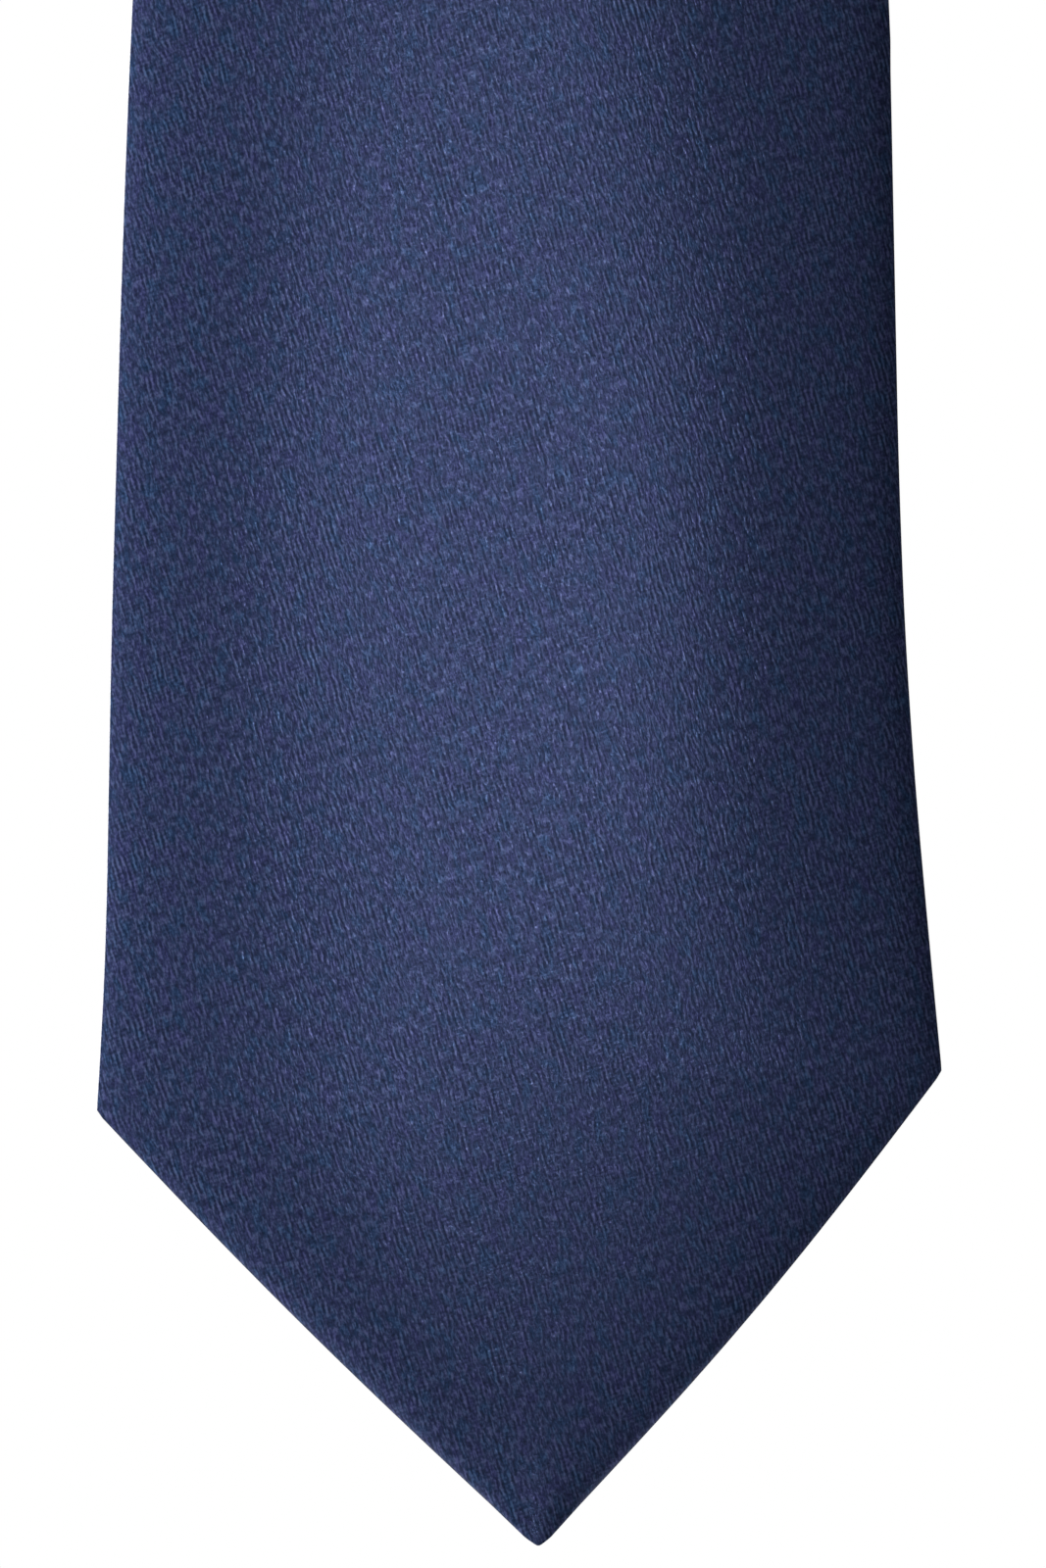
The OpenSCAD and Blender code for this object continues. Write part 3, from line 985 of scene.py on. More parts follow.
def press_seam(depth: Array, along: Array, x: Array, seams: Sequence[float]) -> Array:
    """Sink the cloth a little beside each slanted seam, as a pressed seam does, on the face and on the back.

    Args:
        depth: depths of a grid.
        along: distances along the tie.
        x: across the tie.
        seams: where each seam crosses the middle.

    Returns:
        The new depths.
    """
    face_sink, back_sink, groove, mid_layer = 0.42, 0.3, 0.8, 1.45
    for seam in seams:
        away = np.abs(along - seam - x) / math.sqrt(2)
        sink = np.where(depth < mid_layer, face_sink, -back_sink)
        depth = depth + sink * np.exp(-((away / groove) ** 2))
    return depth


def rows_between(*spans: tuple[float, float, float]) -> list[float]:
    """Stations along the tie, evenly spaced in each span.

    Args:
        spans: first, last and greatest step of each span.

    Returns:
        The stations, with none twice.
    """
    found: list[float] = []
    for low, high, step in spans:
        count = max(2, math.ceil((high - low) / step) + 1)
        found += list(np.linspace(low, high, count))
    return sorted({round(v, 4) for v in found})


def lay_canvas(
    name: str, hang: Hang, stations: Sequence[float], rows: Sequence[tuple[Array, Array, float]]
) -> bpy.types.Object:
    """Make a length of interlining: a flat closed tube, with its face and its back.

    Args:
        name: the piece's name.
        hang: the path.
        stations: distances along the tie.
        rows: x, depth of the face and depth of the back at each.

    Returns:
        The interlining.
    """
    x = np.stack([np.concatenate([across, across[::-1]]) for across, _, _ in rows])
    d = np.stack([np.concatenate([face, np.full(len(face), back)]) for _, face, back in rows])
    s = np.broadcast_to(np.array(stations)[:, None], x.shape)
    return loft(name, hang, x, d, s, x, ring=True)


def plain_canvas(across: Array, thin: float = 1.0) -> Array:
    """Depth of the canvas's face where the cloth over it is only softly rounded.

    Args:
        across: place across the canvas, from -1 to 1.
        thin: how far the layers are thinned out, as a factor.

    Returns:
        Depths in mm.
    """
    return (0.45 + 0.5 * np.abs(across) ** 2.3) * thin


def lining_grid(
    stations: Sequence[float], edges: Callable[[float], tuple[float, float]], inset: float, columns: int
) -> tuple[Array, Array, Array]:
    """Rows of lining between the edges of a blade.

    Args:
        stations: distances along the tie.
        edges: the blade's two edges at a distance.
        inset: how far inside them the lining stops, in mm.
        columns: vertices in a row.

    Returns:
        x, s and how far the layers are thinned out in each row, as a factor.
    """
    rows = []
    for v in stations:
        left, right = edges(v)
        gap = min(inset, (right - left) * 0.25)
        rows.append(left + gap + (right - left - 2 * gap) * np.linspace(0, 1, columns))
    x = np.stack(rows)
    s = np.broadcast_to(np.array(stations)[:, None], x.shape)
    return x, s, np.minimum(1.0, (x[:, -1:] - x[:, :1]) / THIN_BELOW)


def open_area(edges: Callable[[float], tuple[float, float]], low: int, high: int) -> float:
    """Area between a blade's edges, in square metres.

    Args:
        edges: the blade's two edges at a distance along the tie.
        low: first distance, in whole mm.
        high: last distance.

    Returns:
        The area.
    """
    return sum(right - left for left, right in map(edges, range(low, high))) * MM * MM


def hand_wobble(number: int) -> float:
    """How far a hand stitch is off its even place, in mm."""
    return 0.35 * math.sin(number * 1.7)


def slip_stitch(hang: Hang, s: float, wobble: float) -> Array:
    """One slip stitch: a short slanted prick from the upper flap down over its free edge.

    Args:
        hang: the path.
        s: its middle along the tie.
        wobble: how much longer it is than the rest, in mm.

    Returns:
        The thread's points.
    """
    start = hang.place(LAP_RIGHT + 1.1, LAP_DEPTH - 0.08, s - 1.1)
    end = hang.place(LAP_RIGHT - 0.75, 2.72, s + 1.2 + wobble)
    return arch(start, end, hang.off_back(s, 0.22))


# ---------------------------------------------------------------- sub-assemblies


@dataclass
class WideBlade:
    """The wide blade: front panel, interlining, tipping and the stitches that close it."""

    hang: Hang
    wardrobe: Wardrobe
    outline: WideOutline = field(default_factory=WideOutline)
    panel: float = 740.0
    hem: float = 6.0
    tipping_reach: float = 150.0
    # The flaps part to an open square: 45 degrees, with a little taken off for the cloth's give.
    opening: float = 0.98

    def edges(self, s: float) -> tuple[float, float]:
        """Left and right edges at a distance from the tip."""
        return self.outline.edge(Side.LEFT, s), self.outline.edge(Side.RIGHT, s)

    def slant(self, s: float) -> float:
        """Rolled edges look wider where the edge runs at a slant."""
        return 1.0 + 0.42 * (1 - float(smooth((s - self.outline.point + 3) / 5)))

    def free(self, s: float) -> tuple[float, float]:
        """Where the two free edges of the back lie: hem, open V, then lapped.

        Args:
            s: distance from the tip.

        Returns:
            x of the left and the right free edge.
        """
        left, right = self.edges(s)
        hem = self.hem * math.sqrt(2)
        tip_line = self.outline.tip_x * (1 - min(1.0, s / self.outline.point))
        lapped = float(smooth((s - self.outline.point - 22) / 20))
        stop_left = tip_line * (1 - lapped) + LAP_LEFT * lapped
        stop_right = tip_line * (1 - lapped) + LAP_RIGHT * lapped
        open_left = -self.outline.width / 2 + (s - self.outline.corner(Side.LEFT)) * self.opening
        open_right = self.outline.width / 2 - (s - self.outline.corner(Side.RIGHT)) * self.opening
        free_left = min(stop_left, max(left + hem, open_left))
        free_right = max(stop_right, min(right - hem, open_right))
        return free_left, free_right

    @property
    def meet(self) -> float:
        """Where the two free edges cross and the bar tack sits."""
        return self.outline.point + self.outline.width / 2 / self.opening - 0.5

    def shear(self, s: float) -> float:
        """Rows slant towards the end of the panel, to meet the neck's seam."""
        return float(smooth((s - self.panel + 90) / 85))

    def build_shell(self) -> bpy.types.Object:
        """Fold the front panel round the blade.

        Returns:
            The shell.
        """
        shell = FoldedShell(self.edges, self.free)
        stations = rows_between(
            (0.02, 0.3, 0.1), (0.3, 2.4, 0.3), (2.4, 12, 0.8), (12, 40, 1.6), (40, 52, 0.8), (52, 92, 1.6),
            (92, self.panel, 3.2),
        )
        x, d, s, u = shell.grid(stations, self.slant, self.shear)
        d = press_seam(d, s, x, [self.panel])
        piece = loft("front_shell", self.hang, x, d, s, u)
        settle(piece, Slot.SATIN, self.wardrobe, ["front_shell_lower", "front_shell_upper"], FRONT_BEND)
        # The blank is twice the blade's width and the turn-ins, and the finished shell uses less of it.
        width, laps = 2 * self.outline.width + 15, 12 * self.panel * MM * MM
        2 * open_area(self.edges, 0, int(self.panel)) + laps
        return piece

    def build_interlining(self) -> bpy.types.Object:
        """Lay the wool canvas inside the blade.

        Returns:
            The interlining.
        """
        shell = FoldedShell(self.edges, self.free)
        stations = rows_between((4, 60, 2), (60, self.panel - 20, 5))
        rows = []
        for v in stations:
            left, right = self.edges(v)
            inset, thin = min(2.0, (right - left) * 0.2), min(1.0, (right - left) / 12)
            x = (left + right) / 2 + ((right - left) / 2 - inset) * np.linspace(-1, 1, 25)
            rows.append((x, shell.face_depth(x, left, right, v) + 0.5 * thin, CANVAS_BACK * thin))
        piece = lay_canvas("interlining_front", self.hang, stations, rows)
        nodes = ["interlining_front_lower", "interlining_front_upper"]
        settle(piece, Slot.WOOL, self.wardrobe, nodes, FRONT_BEND)
        open_area(self.edges, 4, int(self.panel) - 20)
        return piece

    def build_tipping(self) -> bpy.types.Object:
        """Line the point: the lining shows in the square between the hems.

        Returns:
            The tipping.
        """
        stations = rows_between((3.5, 12, 0.8), (12, self.tipping_reach, 2.5))
        x, s, thin = lining_grid(stations, self.edges, 1.6, 41)
        ripple = 0.06 * np.sin(s / 9.0 + x / 13.0) + 0.04 * np.sin(x / 5.0 - s / 21.0)
        piece = loft("tipping_front_lining", self.hang, x, (TIPPING_DEPTH + ripple) * thin, s, x)
        settle(piece, Slot.TIPPING, self.wardrobe, ["tipping_front"], "front_blade")
        open_area(self.edges, 3, int(self.tipping_reach))
        return piece

    def build_slip_stitch(self) -> bpy.types.Object:
        """Close the back with slanted slip stitches, each a short prick over the lapped edge.

        Returns:
            The stitches.
        """
        work = ThreadWork(SLIP_THREAD)
        s, number = self.meet + 8, 0
        while s < self.panel - 24:
            work.run(slip_stitch(self.hang, s, hand_wobble(number)))
            s += SLIP_PITCH + hand_wobble(number)
            number += 1
        nodes = ["slip_stitch_front_lower", "slip_stitch_front_upper"]
        return settle(work.make("slip_stitch_front"), Slot.THREAD, self.wardrobe, nodes, FRONT_BEND)

    def build_bar_tack(self) -> bpy.types.Object:
        """Lock the foot of the lap with a wrapped bar tack."""
        piece = bar_tack("bar_tack_front_wrapped", self.hang, self.meet + 2.5, 0.0, 7.0)
        return settle(piece, Slot.THREAD, self.wardrobe, ["bar_tack_front"], "front_blade")

    def build_tipping_seam(self) -> bpy.types.Object:
        """Prick-stitch the hem down beside the tipping, all round the open square.

        Returns:
            The stitches.
        """
        work, half = ThreadWork(PRICK_THREAD, sides=6), 0.55
        for side in Side:
            for s in np.arange(self.hem * 1.6, self.outline.point + 30, PRICK_PITCH):
                lean = 1.0 if s < self.outline.corner(side) else -1.0
                free = self.free(s)[0 if side is Side.LEFT else 1]
                x = free + side.value * (0.9 + half * lean)
                a, b = (self.hang.place(x, HEM_DEPTH, s + step) for step in (-half, half))
                work.run(arch(a, b, self.hang.off_back(s, 0.1), 4))
        piece = work.make("tipping_seam_front_pricks")
        return settle(piece, Slot.THREAD, self.wardrobe, ["tipping_seam_front"], "front_blade")

    def build(self) -> None:
        """Build and dress every piece of the blade."""
        self.build_shell()
        self.build_interlining()
        self.build_tipping()
        self.build_slip_stitch()
        self.build_bar_tack()
        self.build_tipping_seam()


def bar_tack(name: str, hang: Hang, s: float, x: float, length: float) -> bpy.types.Object:
    """A bar of laid thread, bound round with close wraps.

    Args:
        name: the piece's name.
        hang: the path.
        s: where it lies along the tie.
        x: its middle across the tie.
        length: its length in mm.

    Returns:
        The tack.
    """
    work, depth, wrap_pitch, wrap_reach = ThreadWork(BAR_THREAD), LAP_DEPTH + 0.12, 0.42, 0.95
    for shift in (-0.3, 0.0, 0.3):
        a, b = (hang.place(x + k * length / 2, depth, s - k * shift) for k in (-1, 1))
        work.run(arch(a, b, hang.off_back(s, 0.15), 8))
    for i in range(int((length - 0.9) / wrap_pitch) + 1):
        at = x - length / 2 + 0.5 + i * wrap_pitch
        lean = 0.12 * math.sin(i * 2.3)
        a, b = (hang.place(at - k * lean, depth, s + k * wrap_reach) for k in (-1, 1))
        work.run(arch(a, b, hang.off_back(s, 0.5), 7))
    return work.make(name)


@dataclass
class NeckPanel:
    """The bias-cut neck panel that joins the two blades and lies on the rail."""

    hang: Hang
    wardrobe: Wardrobe
    wide: WideOutline
    tail: TailOutline
    start: float = 740.0
    end: float = 1070.0
    rail_depth: float = 2.86

    def edges(self, s: float) -> tuple[float, float]:
        """Left and right edges of the neck.

        Args:
            s: distance from the wide tip.

        Returns:
            x of both edges, in mm.
        """
        if s < self.hang.front_drop:
            half = self.wide.half(s)
            return -half, half
        t = self.hang.length - s
        return self.tail.edge(Side.LEFT, t), self.tail.edge(Side.RIGHT, t)

    def shear(self, s: float) -> float:
        """Rows slant at both ends, to meet the seams."""
        return float(smooth(1 - (s - self.start) / SEAM_RUN) + smooth(1 - (self.end - s) / SEAM_RUN))

    def build_shell(self) -> None:
        """Fold the neck panel, in two lengths that share one line: over the rail, and the leg that hangs
        behind.
        """
        shell = FoldedShell(self.edges, lambda _: (LAP_LEFT, LAP_RIGHT), face_columns=45)
        fold, leg = self.hang.front_drop, self.hang.front_drop + self.hang.fold
        stations = rows_between((self.start, self.start + 6, 0.8), (self.start + 6, fold - 4, 3.2),
                                (fold - 4, leg, 1.3), (leg, leg + 40, 1.6),
                                (leg + 40, self.end - 6, 3.2), (self.end - 6, self.end, 0.8))
        x, d, s, u = shell.grid(stations, lambda _: 1.0, self.shear)
        on_rail = smooth((s - fold + 25) / 25) * smooth((leg + 25 - s) / 25)
        # On the rail the cloth is pulled flat, so its back lies on the rail all across.
        d = np.where(d > CANVAS_BACK, d + (np.minimum(d, self.rail_depth) - d) * on_rail, d)
        d = press_seam(d, s, x, [self.start, self.end])
        cut = int(np.argmin(np.abs(np.array(stations) - leg)))
        over = loft("neck_over_rail", self.hang, x[: cut + 1], d[: cut + 1], s[: cut + 1], u[: cut + 1])
        settle(over, Slot.SATIN, self.wardrobe, ["neck_gusset_fold"], "neck")
        hanging = loft("neck_leg", self.hang, x[cut:], d[cut:], s[cut:], u[cut:])
        settle(hanging, Slot.SATIN, self.wardrobe, ["neck_gusset_tail_leg"], SWING_BEND)

    def build_interlining(self) -> None:
        """Carry the canvas over the rail, in the same two lengths."""
        fold, leg = self.hang.front_drop, self.hang.front_drop + self.hang.fold
        across = np.linspace(-1, 1, 15)
        plans: list[tuple[str, list[float], list[str], Bend | str, float]] = [
            ("interlining_over_rail", rows_between((self.start - 20, fold, 5), (fold, leg, 1.5)),
             ["interlining_neck"], "neck", 0.205),
            ("interlining_leg", rows_between((leg, leg + 40, 2), (leg + 40, self.end + 20, 5)),
             [], SWING_BEND, 0.166),
        ]
        for name, stations, nodes, motion, length in plans:
            rows = [((self.edges(v)[1] - 2.0) * across, plain_canvas(across), CANVAS_BACK) for v in stations]
            piece = lay_canvas(name, self.hang, stations, rows)
            settle(piece, Slot.WOOL, self.wardrobe, nodes, motion)

    def build_seam(self, name: str, node: str, seam: float, body: str) -> bpy.types.Object:
        """Machine-stitch one slanted seam: the thread lies in the groove between the panels.

        Args:
            name: the piece's name.
            node: the CAD node that it stands for.
            seam: where it crosses the middle.
            body: the body that it rides on.

        Returns:
            The stitches.
        """
        work, groove, pitch = ThreadWork(SEAM_THREAD, sides=6), 0.78, 1.5
        half = self.edges(seam)[1] - 2.8
        for x in np.arange(-half, half, pitch):
            a, b = (self.hang.place(x + k, groove, seam + x + k) for k in (0.15, 1.25))
            work.run(arch(a, b, self.hang.off_back(seam, -0.04), 4))
        return settle(work.make(name), Slot.THREAD, self.wardrobe, [node], body)

    def build(self) -> None:
        """Build and dress every piece of the neck."""
        self.build_shell()
        self.build_interlining()
        self.build_seam("gusset_seam_front_thread", "gusset_seam_front", self.start, "neck")
        self.build_seam("gusset_seam_tail_thread", "gusset_seam_tail", self.end, "tail_leg")


@dataclass
class TailBlade:
    """The narrow blade that hangs behind."""

    hang: Hang
    wardrobe: Wardrobe
    outline: TailOutline = field(default_factory=TailOutline)
    start: float = 1070.0
    hem: float = 5.0
    opening: float = 0.98

    def edges(self, s: float) -> tuple[float, float]:
        """Left and right edges at a distance from the wide tip."""
        t = self.hang.length - s
        return self.outline.edge(Side.LEFT, t), self.outline.edge(Side.RIGHT, t)

    def free(self, s: float) -> tuple[float, float]:
        """Where the two free edges of the back lie.

        Args:
            s: distance from the wide tip.

        Returns:
            x of the left and the right free edge.
        """
        t = self.hang.length - s
        left, right = self.edges(s)
        hem, corner = self.hem * math.sqrt(2), self.outline.corner
        lapped = float(smooth((t - corner - 8) / 12))
        open_left = left + hem if t < corner + hem else -corner + (t - corner) * self.opening
        free_left = min(LAP_LEFT * lapped, max(left + hem, open_left))
        free_right = max(LAP_RIGHT * lapped, min(right - hem, -open_left))
        return free_left, free_right

    @property
    def meet(self) -> float:
        """Where the two free edges cross."""
        return self.hang.length - (self.outline.width + 0.5)

    def slant(self, s: float) -> float:
        """Rolled edges look wider where the edge runs at a slant."""
        return 1.0 + 0.42 * (1 - float(smooth((self.hang.length - s - self.outline.corner + 3) / 5)))

    def shear(self, s: float) -> float:
        """Rows slant at the start, to meet the neck's seam."""
        return float(smooth(1 - (s - self.start) / SEAM_RUN))

    def build_shell(self) -> bpy.types.Object:
        """Fold the tail panel.

        Returns:
            The shell.
        """
        shell = FoldedShell(self.edges, self.free, face_columns=45)
        length = self.hang.length
        stations = rows_between((self.start, self.start + 6, 0.8), (self.start + 6, length - 50, 3.2),
                                (length - 50, length - 12, 1.5), (length - 12, length - 2.4, 0.8),
                                (length - 2.4, length - 0.3, 0.3), (length - 0.3, length - 0.02, 0.1))
        x, d, s, u = shell.grid(stations, self.slant, self.shear)
        d = press_seam(d, s, x, [self.start])
        piece = loft("tail_shell", self.hang, x, d, s, u)
        settle(piece, Slot.SATIN, self.wardrobe, ["tail_shell_upper", "tail_shell_lower"], TAIL_BEND)
        return piece

    def build_interlining(self) -> bpy.types.Object:
        """Lay the wool canvas inside the tail.

        Returns:
            The interlining.
        """
        length = self.hang.length
        stations = rows_between((self.start + 20, length - 30, 5), (length - 30, length - 3.5, 2))
        across, rows = np.linspace(-1, 1, 15), []
        for v in stations:
            left, right = self.edges(v)
            inset, thin = min(2.0, (right - left) * 0.2), min(1.0, (right - left) / 12)
            x = ((right - left) / 2 - inset) * across
            rows.append((x, plain_canvas(across, thin), CANVAS_BACK * thin))
        piece = lay_canvas("interlining_tail", self.hang, stations, rows)
        nodes = ["interlining_tail_upper", "interlining_tail_lower"]
        settle(piece, Slot.WOOL, self.wardrobe, nodes, TAIL_BEND)
        return piece

    def build_tipping(self) -> bpy.types.Object:
        """Line the tail's point.

        Returns:
            The tipping.
        """
        length = self.hang.length
        stations = rows_between((length - 90, length - 10, 2.5), (length - 10, length - 3.2, 0.8))
        x, s, thin = lining_grid(stations, self.edges, 1.4, 25)
        d = (TIPPING_DEPTH + 0.05 * np.sin(s / 8.0 + x / 9.0)) * thin
        piece = loft("tipping_tail_lining", self.hang, x, d, s, x)
        settle(piece, Slot.TIPPING, self.wardrobe, ["tipping_tail"], "tail_end")
        return piece

    def build_slip_stitch(self) -> None:
        """Close the back with slip stitches: those on the tail's own panel, and those on the neck's leg."""
        lower, upper = ThreadWork(SLIP_THREAD), ThreadWork(SLIP_THREAD)
        s, number = self.meet - 8, 0
        while s > self.hang.front_drop + self.hang.fold + 12:
            work = lower if s > self.start + 6 else upper
            work.run(slip_stitch(self.hang, s, hand_wobble(number)))
            s -= SLIP_PITCH + hand_wobble(number)
            number += 1
        for work, name, node, bend in (
            (lower, "slip_stitch_tail", "slip_stitch_tail_lower", TAIL_BEND),
            (upper, "slip_stitch_leg", "slip_stitch_tail_upper", SWING_BEND),
        ):
            settle(work.make(name), Slot.THREAD, self.wardrobe, [node], bend)

    def build_bar_tack(self) -> None:
        """Lock the foot of the lap with a wrapped bar tack."""
        piece = bar_tack("bar_tack_tail_wrapped", self.hang, self.meet - 2.5, 0.0, 5.0)
        settle(piece, Slot.THREAD, self.wardrobe, ["bar_tack_tail"], "tail_end")

    def build_tipping_seam(self) -> None:
        """Prick-stitch the hem down beside the tipping."""
        work, half = ThreadWork(PRICK_THREAD, sides=6), 0.5
        for side in Side:
            for t in np.arange(self.hem * 1.7, self.outline.corner + 14, PRICK_PITCH):
                s = self.hang.length - t
                x = self.free(s)[0 if side is Side.LEFT else 1] + side.value * 0.9
                lean = side.value if t < self.outline.corner else -side.value
                a, b = (self.hang.place(x + k * lean, HEM_DEPTH, s - k) for k in (-half, half))
                work.run(arch(a, b, self.hang.off_back(s, 0.088), 4))
        piece = work.make("tipping_seam_tail_pricks")
        settle(piece, Slot.THREAD, self.wardrobe, ["tipping_seam_tail"], "tail_end")

    def build(self) -> None:
        """Build and dress every piece of the tail."""
        self.build_shell()
        self.build_interlining()
        self.build_tipping()
        self.build_slip_stitch()
        self.build_bar_tack()
        self.build_tipping_seam()


@dataclass(frozen=True)
class Label:
    """A blank label: a small doubled cloth with folded ends, slightly pillowed."""

    name: str
    size: tuple[float, float]
    s: float
    x: float
    depth: float
    pillow: float
    # How far its free lower edge curls away.
    flip: float

    def make(self, hang: Hang) -> bpy.types.Object:
        """Make the label.

        Args:
            hang: the path that it lies on.

        Returns:
            The label.
        """
        columns, rows = 34, 22
        across, along = np.meshgrid(np.linspace(-1, 1, columns), np.linspace(-1, 1, rows))
        swell = self.pillow * (1 - across**6) * (1 - along**6)
        curl = self.flip * np.clip(-along, 0, 1) ** 2 * (0.6 + 0.4 * across)
        x, s = across * self.size[0] / 2, along * self.size[1] / 2
        top, under = (
            hang.place(self.x + x, self.depth + depth + curl, self.s + s).reshape(-1, 3)
            for depth in (0.16 + swell, 0.6 * swell)
        )
        rim = [*range(columns)]
        rim += [r * columns + columns - 1 for r in range(1, rows)]
        rim += [(rows - 1) * columns + c for c in range(columns - 2, -1, -1)]
        rim += [r * columns for r in range(rows - 2, 0, -1)]
        base = rows * columns
        faces = [tuple(reversed(f)) for f in grid_faces(rows, columns)]
        faces += grid_faces(rows, columns, start=base)
        faces += [(a, b, base + b, base + a) for a, b in zip(rim, rim[1:] + rim[:1], strict=True)]
        uv = np.stack([x, s], axis=-1).reshape(-1, 2) * MM
        return make_mesh(self.name, np.concatenate([top, under]), faces, np.concatenate([uv, uv]))


@dataclass
class BackFittings:
    """The keeper loop and the two blank labels on the back of the wide blade."""

    hang: Hang
    wardrobe: Wardrobe
    keeper_s: float = 220.0
    keeper_span: float = 52.0
    keeper_strap: float = 11.0
    keeper_lift: float = 6.35
    # Where the strap's ends lie, inside the flaps, and half the folded strap's thickness.
    keeper_root: float = 2.5
    keeper_half: float = 0.42
    maker: Label = Label("maker_label_blank", (50.0, 26.0), 175.0, 0.0, LAP_DEPTH + 0.04, 0.35, 0.0)
    care: Label = Label("care_label_blank", (18.0, 24.0), 259.0, 12.0, 3.15, 0.25, 0.5)

    def build_keeper(self) -> bpy.types.Object:
        """Make the self-fabric loop: a strip folded to a flat tube, bowed off the back between its sewn ends.

        Returns:
            The loop.
        """
        t = np.linspace(0, 1, 61)
        rise = np.sin(math.pi * t) ** 0.32
        x_mid = (t - 0.5) * self.keeper_span
        # Both ends run in through the flaps, so that no raw edge shows.
        lift = self.keeper_root + rise * self.keeper_lift
        ring = np.linspace(0, 2 * math.pi, 28, endpoint=False)
        half_w = self.keeper_strap / 2 * (0.8 + 0.2 * rise)
        tangent = np.gradient(np.stack([x_mid, lift], axis=1), axis=0)
        tangent /= np.linalg.norm(tangent, axis=1, keepdims=True)
        across = np.sign(np.cos(ring)) * np.abs(np.cos(ring)) ** 0.35
        proud = np.sign(np.sin(ring)) * np.abs(np.sin(ring)) ** 0.8
        s = self.keeper_s + half_w[:, None] * across[None, :]
        x = x_mid[:, None] - tangent[:, 1:2] * self.keeper_half * proud[None, :]
        d = lift[:, None] + tangent[:, 0:1] * self.keeper_half * proud[None, :]
        faces = grid_faces(*s.shape, ring=True) + end_caps(*s.shape)
        uv = np.stack([s - self.keeper_s, np.broadcast_to(x_mid[:, None], s.shape)], axis=-1) * MM
        piece = make_mesh("keeper_loop_satin", self.hang.place(x, d, s), faces, uv)
        bend = Bend("front_blade", "keeper", (0, -0.0124, -0.66), (0, -0.0085, -0.66))
        settle(piece, Slot.SATIN, self.wardrobe, ["keeper_loop"], bend)
        return piece

    def build_keeper_tack(self, side: Side) -> bpy.types.Object:
        """Tack one end of the loop down with close upright stitches.

        Args:
            side: the end.

        Returns:
            The tack.
        """
        work = ThreadWork(KEEPER_THREAD)
        edge = side.value * (self.keeper_span / 2 + 0.1)
        for s in self.keeper_s + np.arange(-3.6, 3.7, 0.6):
            a = self.hang.place(edge + side.value * 1.3, 2.95, s)
            b = self.hang.place(edge - side.value * 1.1, 3.9, s + 0.25)
            work.run(arch(a, b, self.hang.off_back(s, 0.3), 5))
        name = f"keeper_tack_{side.name.lower()}"
        return settle(work.make(name + "_stitches"), Slot.THREAD, self.wardrobe, [name], "front_blade")

    def build_labels(self) -> None:
        """Sew on the maker's label at both its ends, and the care label along its top edge only."""
        label = self.maker.make(self.hang)
        settle(label, Slot.LABEL, self.wardrobe, ["maker_label"], "front_blade")
        care = self.care.make(self.hang)
        bend = Bend("front_blade", "care_label", (0, 0, -0.6092), (0, 0, -0.6135))
        settle(care, Slot.CARE, self.wardrobe, ["care_label"], bend)

    def build_label_stitches(self) -> None:
        """Run machine stitches down both ends of the maker's label and along the top of the care label."""
        pitch, stitch = 1.9, 1.35
        ends, top = ThreadWork(LABEL_THREAD, sides=6), ThreadWork(LABEL_THREAD, sides=6)
        width, height = self.maker.size
        for side in Side:
            x = side.value * (width / 2 - 1.6)
            for s in self.maker.s + np.arange(-height / 2 + 1.2, height / 2 - 1.4, pitch):
                a, b = (self.hang.place(x, LAP_DEPTH + 0.3, s + k) for k in (0.0, stitch))
                ends.run(arch(a, b, self.hang.off_back(s, 0.1), 4))
        width, height = self.care.size
        s = self.care.s + height / 2 - 1.1
        for x in self.care.x + np.arange(-width / 2 + 0.6, width / 2 - 1.4, pitch):
            a, b = (self.hang.place(x + k, 3.38, s) for k in (0.0, stitch))
            top.run(arch(a, b, self.hang.off_back(s, 0.1), 4))
        for work, name in ((ends, "maker_label_stitches"), (top, "care_label_stitches")):
            settle(work.make(name + "_run"), Slot.THREAD, self.wardrobe, [name], "front_blade")

    def build(self) -> None:
        """Build and dress the loop, its tacks and the labels."""
        self.build_keeper()
        for side in Side:
            self.build_keeper_tack(side)
        self.build_labels()
        self.build_label_stitches()


# ---------------------------------------------------------------- studio


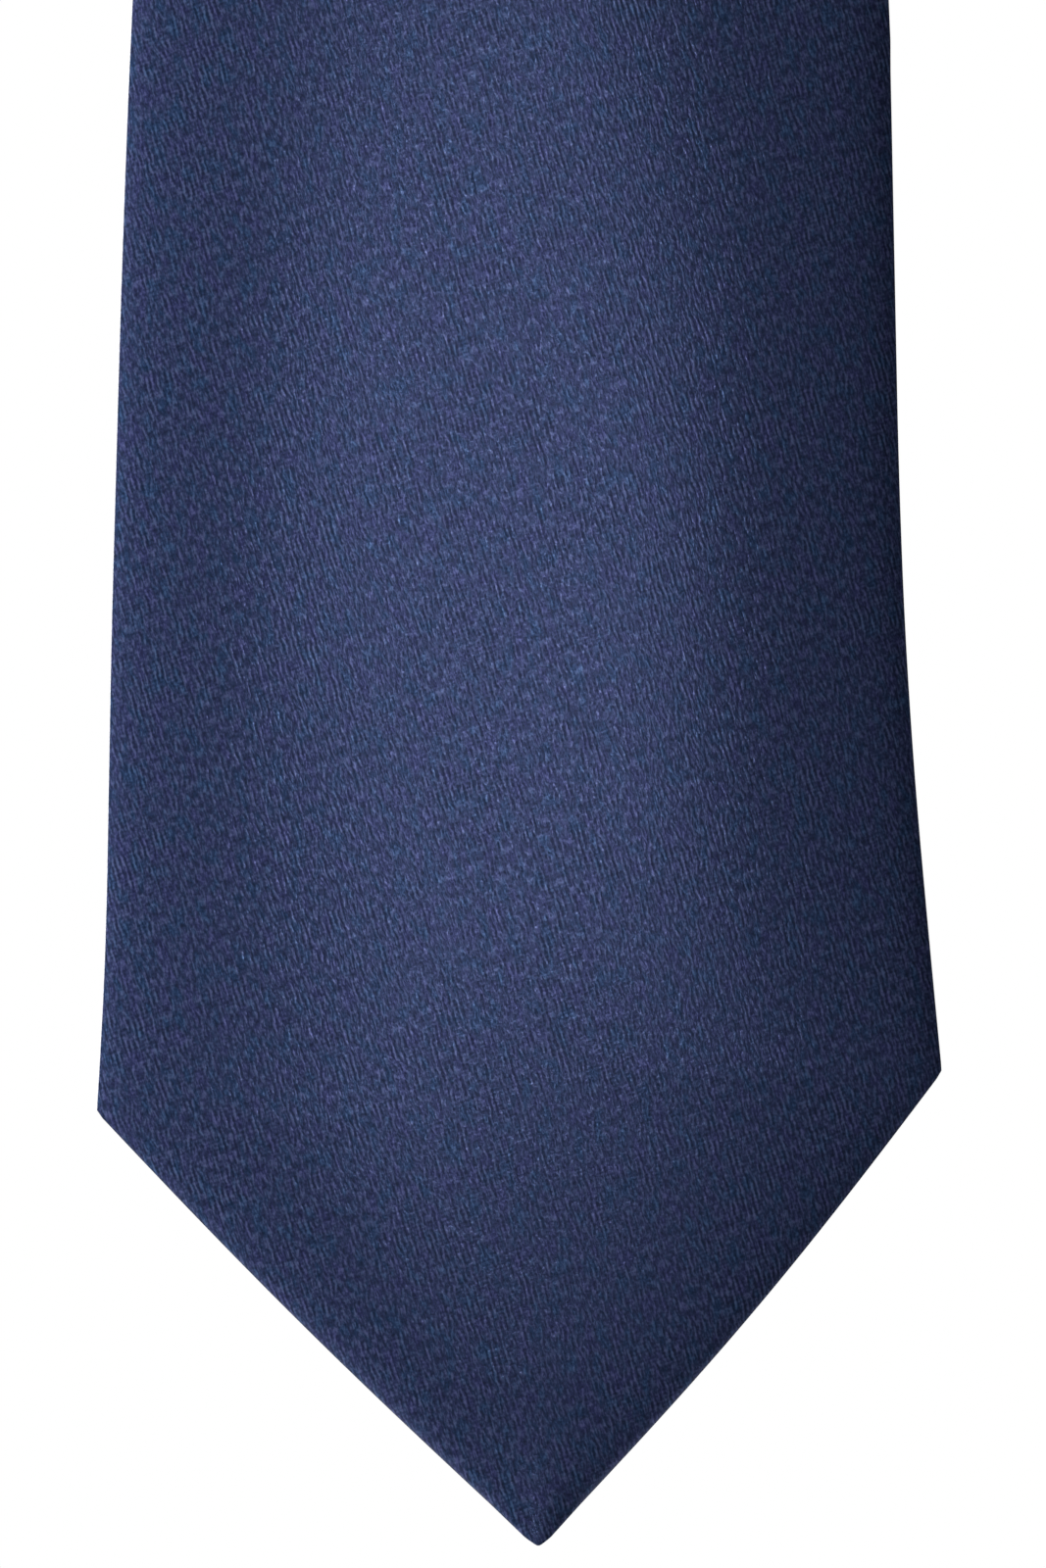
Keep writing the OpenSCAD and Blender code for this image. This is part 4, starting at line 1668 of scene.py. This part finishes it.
@dataclass
class Studio:
    """Camera, soft lights, white surround and a pale floor."""

    view_height: float = 158.7
    distance: float = 600.0
    centre: tuple[float, float] = (0.55, -802.9)
    face_y: float = -15.7
    floor_r: float = 0.45
    floor_z: float = -1.2

    def build_camera(self) -> None:
        """A long lens, level and square to the wide blade's face."""
        data = bpy.data.cameras.new("studio_camera")
        data.sensor_width = 36.0
        data.lens = 36.0 * self.distance / self.view_height
        data.clip_start, data.clip_end = 0.01, 60.0
        camera = bpy.data.objects.new("studio_camera", data)
        camera.location = Vector((self.centre[0], self.face_y - self.distance, self.centre[1])) * MM
        camera.rotation_euler = Euler((math.pi / 2, 0, 0))
        bpy.context.scene.collection.objects.link(camera)
        bpy.context.scene.camera = camera

    def build_light(self, name: str, place: tuple[float, float, float], aim: tuple[float, float, float],
                    size: tuple[float, float], power: float, roll: float = 0.0,
                    window: Window = Window.OBLONG, glossy: bool = True) -> None:
        """Hang one softbox.

        Args:
            name: the light's name.
            place: where it is, in metres.
            aim: the point that it faces.
            size: its width and height in metres.
            power: its power in watts.
            roll: how far it leans over about its own axis, in degrees.
            window: its outline.
            glossy: whether the satin mirrors it.
        """
        data = bpy.data.lights.new(name, "AREA")
        data.shape = window.value
        data.size, data.size_y = size
        data.energy = power
        light = bpy.data.objects.new(name, data)
        light.location = place
        light.visible_camera = False
        light.visible_glossy = glossy
        facing = (Vector(aim) - Vector(place)).to_track_quat("-Z", "Y")
        light.rotation_euler = (facing @ Quaternion((0, 0, 1), math.radians(roll))).to_euler()
        bpy.context.scene.collection.objects.link(light)

    def build_world(self) -> None:
        """A white surround: bright to the eye, softer as a light."""
        world = bpy.data.worlds.new("white_surround")
        bpy.context.scene.world = world
        world.use_nodes = True
        tree = world.node_tree
        tree.nodes.clear()
        seen = add_node(tree, "Background", {"Color": (1, 1, 1, 1), "Strength": 1.0})
        lit = add_node(tree, "Background", {"Color": linear_from_hex("F2F5FF"), "Strength": 0.05})
        eye = add_node(tree, "LightPath").outputs["Is Camera Ray"]
        add_node(tree, "OutputWorld", {0: add_node(tree, "MixShader", {0: eye, 1: lit, 2: seen})})

    def build_floor(self) -> None:
        """A pale round floor well below the wide tip."""
        angle = np.linspace(0, 2 * math.pi, 96, endpoint=False)
        x, y = self.floor_r * np.cos(angle), self.floor_r * np.sin(angle)
        rim = np.stack([x, y, np.full_like(x, self.floor_z)], axis=-1)
        floor = make_mesh("studio_floor", rim, [tuple(range(len(rim)))])
        floor.data.materials.append(StudioPaper().make())

    def build(self) -> None:
        """Set the studio up."""
        self.build_camera()
        self.build_world()
        self.build_floor()
        self.build_light("key_strip", (-0.24, -0.125, -0.52), (0.0, -0.0157, -0.52), (0.09, 1.0), 1.9,
                         glossy=False)
        self.build_light("camera_strip", (-0.007, -1.25, -0.745), (0, 0, -0.785), (0.03, 0.58), 0.8,
                         roll=9.5, window=Window.OVAL)
        self.build_light("upper_softbox", (0.3, -1.3, 0.35), (0, 0, -0.3), (0.5, 0.6), 3.8)
        self.build_light("back_softbox", (-0.2, 1.2, -0.3), (0, 0, -0.5), (0.9, 1.3), 15.0)
        self.build_light("overhead_softbox", (0.0, 0.5, 1.1), (0.0, 0.0, -1.2), (0.9, 0.9), 13.0,
                         glossy=False)
        bpy.context.scene.view_settings.view_transform = "Standard"
        bpy.context.scene.view_settings.look = "None"


def main() -> None:
    """Build the tie, then the studio."""
    logging.basicConfig(level=logging.INFO, format="%(name)s: %(message)s")
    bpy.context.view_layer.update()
    hang, wardrobe = Hang(), Wardrobe()
    wide = WideBlade(hang, wardrobe)
    tail = TailBlade(hang, wardrobe)
    for part in (
        wide,
        NeckPanel(hang, wardrobe, wide.outline, tail.outline),
        tail,
        BackFittings(hang, wardrobe),
        Studio(),
    ):
        part.build()
        LOG.info("%s done", type(part).__name__)


if __name__ == "__main__":
    main()
